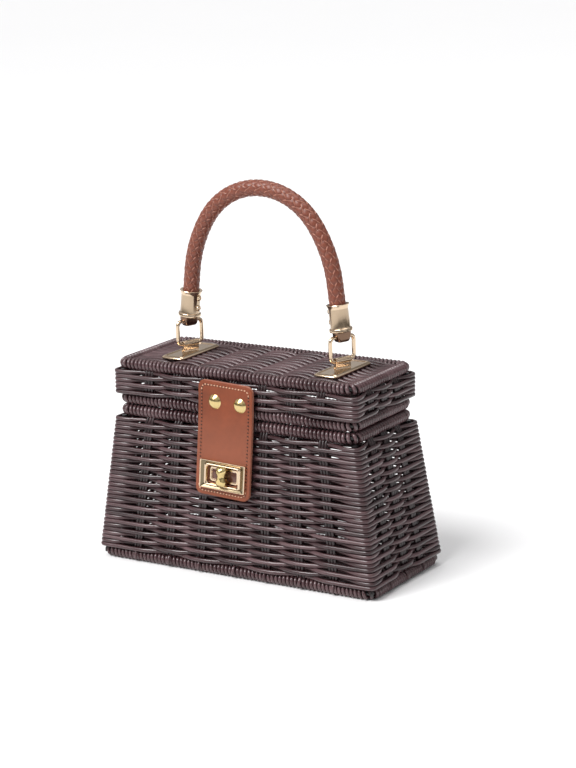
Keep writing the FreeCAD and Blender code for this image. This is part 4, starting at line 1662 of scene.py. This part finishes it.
class BAG_OT_studio(Operator):
    """Set the floor, the lamps and the camera"""

    bl_idname = "bag.studio"
    bl_label = "Studio"

    def execute(self, context):
        studio = context.scene.bag_studio
        self.floor()
        self.light(context, studio)
        self.camera(context, studio)
        return {"FINISHED"}

    def floor(self):
        half, z = 20.0, -0.0002
        corners = [(-half, -half, z), (half, -half, z), (half, half, z), (-half, half, z)]
        mesh = bpy.data.meshes.new("floor")
        mesh.from_pydata(corners, [], [(0, 1, 2, 3)])
        mesh.materials.append(finish("floor"))
        mesh_object("floor", mesh)

    def light(self, context, studio):
        """A pale sky with a dark band at the horizon and dim screens, a sun and three lamps."""
        world = bpy.data.worlds.new("studio")
        world.use_nodes = True
        graph = Graph(world.node_tree)
        sky = world.node_tree.nodes["Background"]
        toward = graph.node("ShaderNodeTexCoord", output="Generated")
        up = graph.node("ShaderNodeSeparateXYZ", None, {0: toward}, output="Z")
        shade = graph.node("ShaderNodeValToRGB", {"stops": [
            (0.0, (0.8, 0.8, 0.8)), (0.02, (0.10, 0.09, 0.08)), (0.15, (0.14, 0.13, 0.12)),
            (0.27, (0.95, 0.95, 0.97)), (1.0, (1.15, 1.15, 1.18)),
        ]}, {0: up})
        stretch = {"Vector": toward, "Scale": (1.0, 1.0, 0.3)}
        spread = graph.node("ShaderNodeMapping", None, stretch)
        screens = (graph.noise(spread, 2.6, detail=1.0) * 6 - 2.6).clipped()
        light = graph.mix(screens, (0.30, 0.29, 0.28), shade)
        world.node_tree.links.new(light.socket, sky.inputs["Color"])
        sky.inputs["Strength"].default_value = studio.ambient
        context.scene.world = world
        context.scene.view_settings.view_transform = "Standard"
        sun = bpy.data.lights.new("sun", "SUN")
        sun.energy = studio.sun
        sun.angle = studio.sun_angle
        self.aim(mesh_object("sun", sun), Vector((0.25, 0.62, -0.9)))
        lamps = (
            ("key", studio.key, (-0.9, -1.5, 1.5), 0.9, 1.2),
            ("fill", studio.fill, (1.9, -0.7, 0.9), 0.9, 1.4),
            ("top", studio.top, (0.1, 0.4, 1.9), 1.4, 1.0),
        )
        for name, power, spot, width, height in lamps:
            lamp = bpy.data.lights.new(name, "AREA")
            lamp.shape = "RECTANGLE"
            lamp.size = width
            lamp.size_y = height
            lamp.energy = power
            holder = mesh_object(name, lamp)
            holder.location = spot
            self.aim(holder, Z * 0.1 - Vector(spot))

    def aim(self, holder, way):
        holder.rotation_euler = way.to_track_quat("-Z", "Y").to_euler()

    def camera(self, context, studio):
        lens = bpy.data.cameras.new("camera")
        lens.lens = studio.lens
        lens.sensor_width = 36.0
        lens.shift_x = studio.shift_x
        lens.shift_y = studio.shift_y
        lens.clip_start = 0.05
        lens.clip_end = 100.0
        camera = mesh_object("camera", lens)
        az, el = studio.azimuth, studio.elevation
        back = Vector((math.sin(az) * math.cos(el), -math.cos(az) * math.cos(el), math.sin(el)))
        right = Z.cross(back).normalized()
        up = back.cross(right)
        level = Matrix((right, up, back)).transposed().to_4x4()
        target = Z * studio.aim_height
        turn = Matrix.Rotation(studio.roll, 4, "Z")
        camera.matrix_world = Matrix.Translation(target + back * studio.distance) @ level @ turn
        context.scene.camera = camera


class BAG_PT_panel(Panel):
    """Lists the bag's pieces"""

    bl_idname = "BAG_PT_panel"
    bl_label = "Woven box bag"
    bl_space_type = "VIEW_3D"
    bl_region_type = "UI"
    bl_category = "Box Bag"

    def draw(self, context):
        layout = self.layout
        for name in SETTINGS:
            box = layout.box()
            settings = getattr(context.scene, name)
            for key in settings.bl_rna.properties.keys():
                if key not in ("rna_type", "name"):
                    box.prop(settings, key)
        for operator in MAKERS:
            layout.operator(operator.bl_idname)


SETTINGS = {
    "bag_cane": CaneSettings,
    "bag_leather": LeatherSettings,
    "bag_handle": HandleSettings,
    "bag_metal": MetalSettings,
    "bag_studio": StudioSettings,
}
MAKERS = (
    BAG_OT_basket, BAG_OT_lid, BAG_OT_tab, BAG_OT_lock, BAG_OT_rings, BAG_OT_handle,
    BAG_OT_frame, BAG_OT_studio,
)


def register():
    for group in SETTINGS.values():
        bpy.utils.register_class(group)
    for operator in MAKERS:
        bpy.utils.register_class(operator)
    bpy.utils.register_class(BAG_PT_panel)
    for name, group in SETTINGS.items():
        setattr(bpy.types.Scene, name, PointerProperty(type=group))


def unregister():
    for name in SETTINGS:
        delattr(bpy.types.Scene, name)
    bpy.utils.unregister_class(BAG_PT_panel)
    for operator in reversed(MAKERS):
        bpy.utils.unregister_class(operator)
    for group in reversed(SETTINGS.values()):
        bpy.utils.unregister_class(group)


def main():
    register()
    for operator in MAKERS:
        family, action = operator.bl_idname.split(".")
        getattr(getattr(bpy.ops, family), action)()


if __name__ == "__main__":
    main()
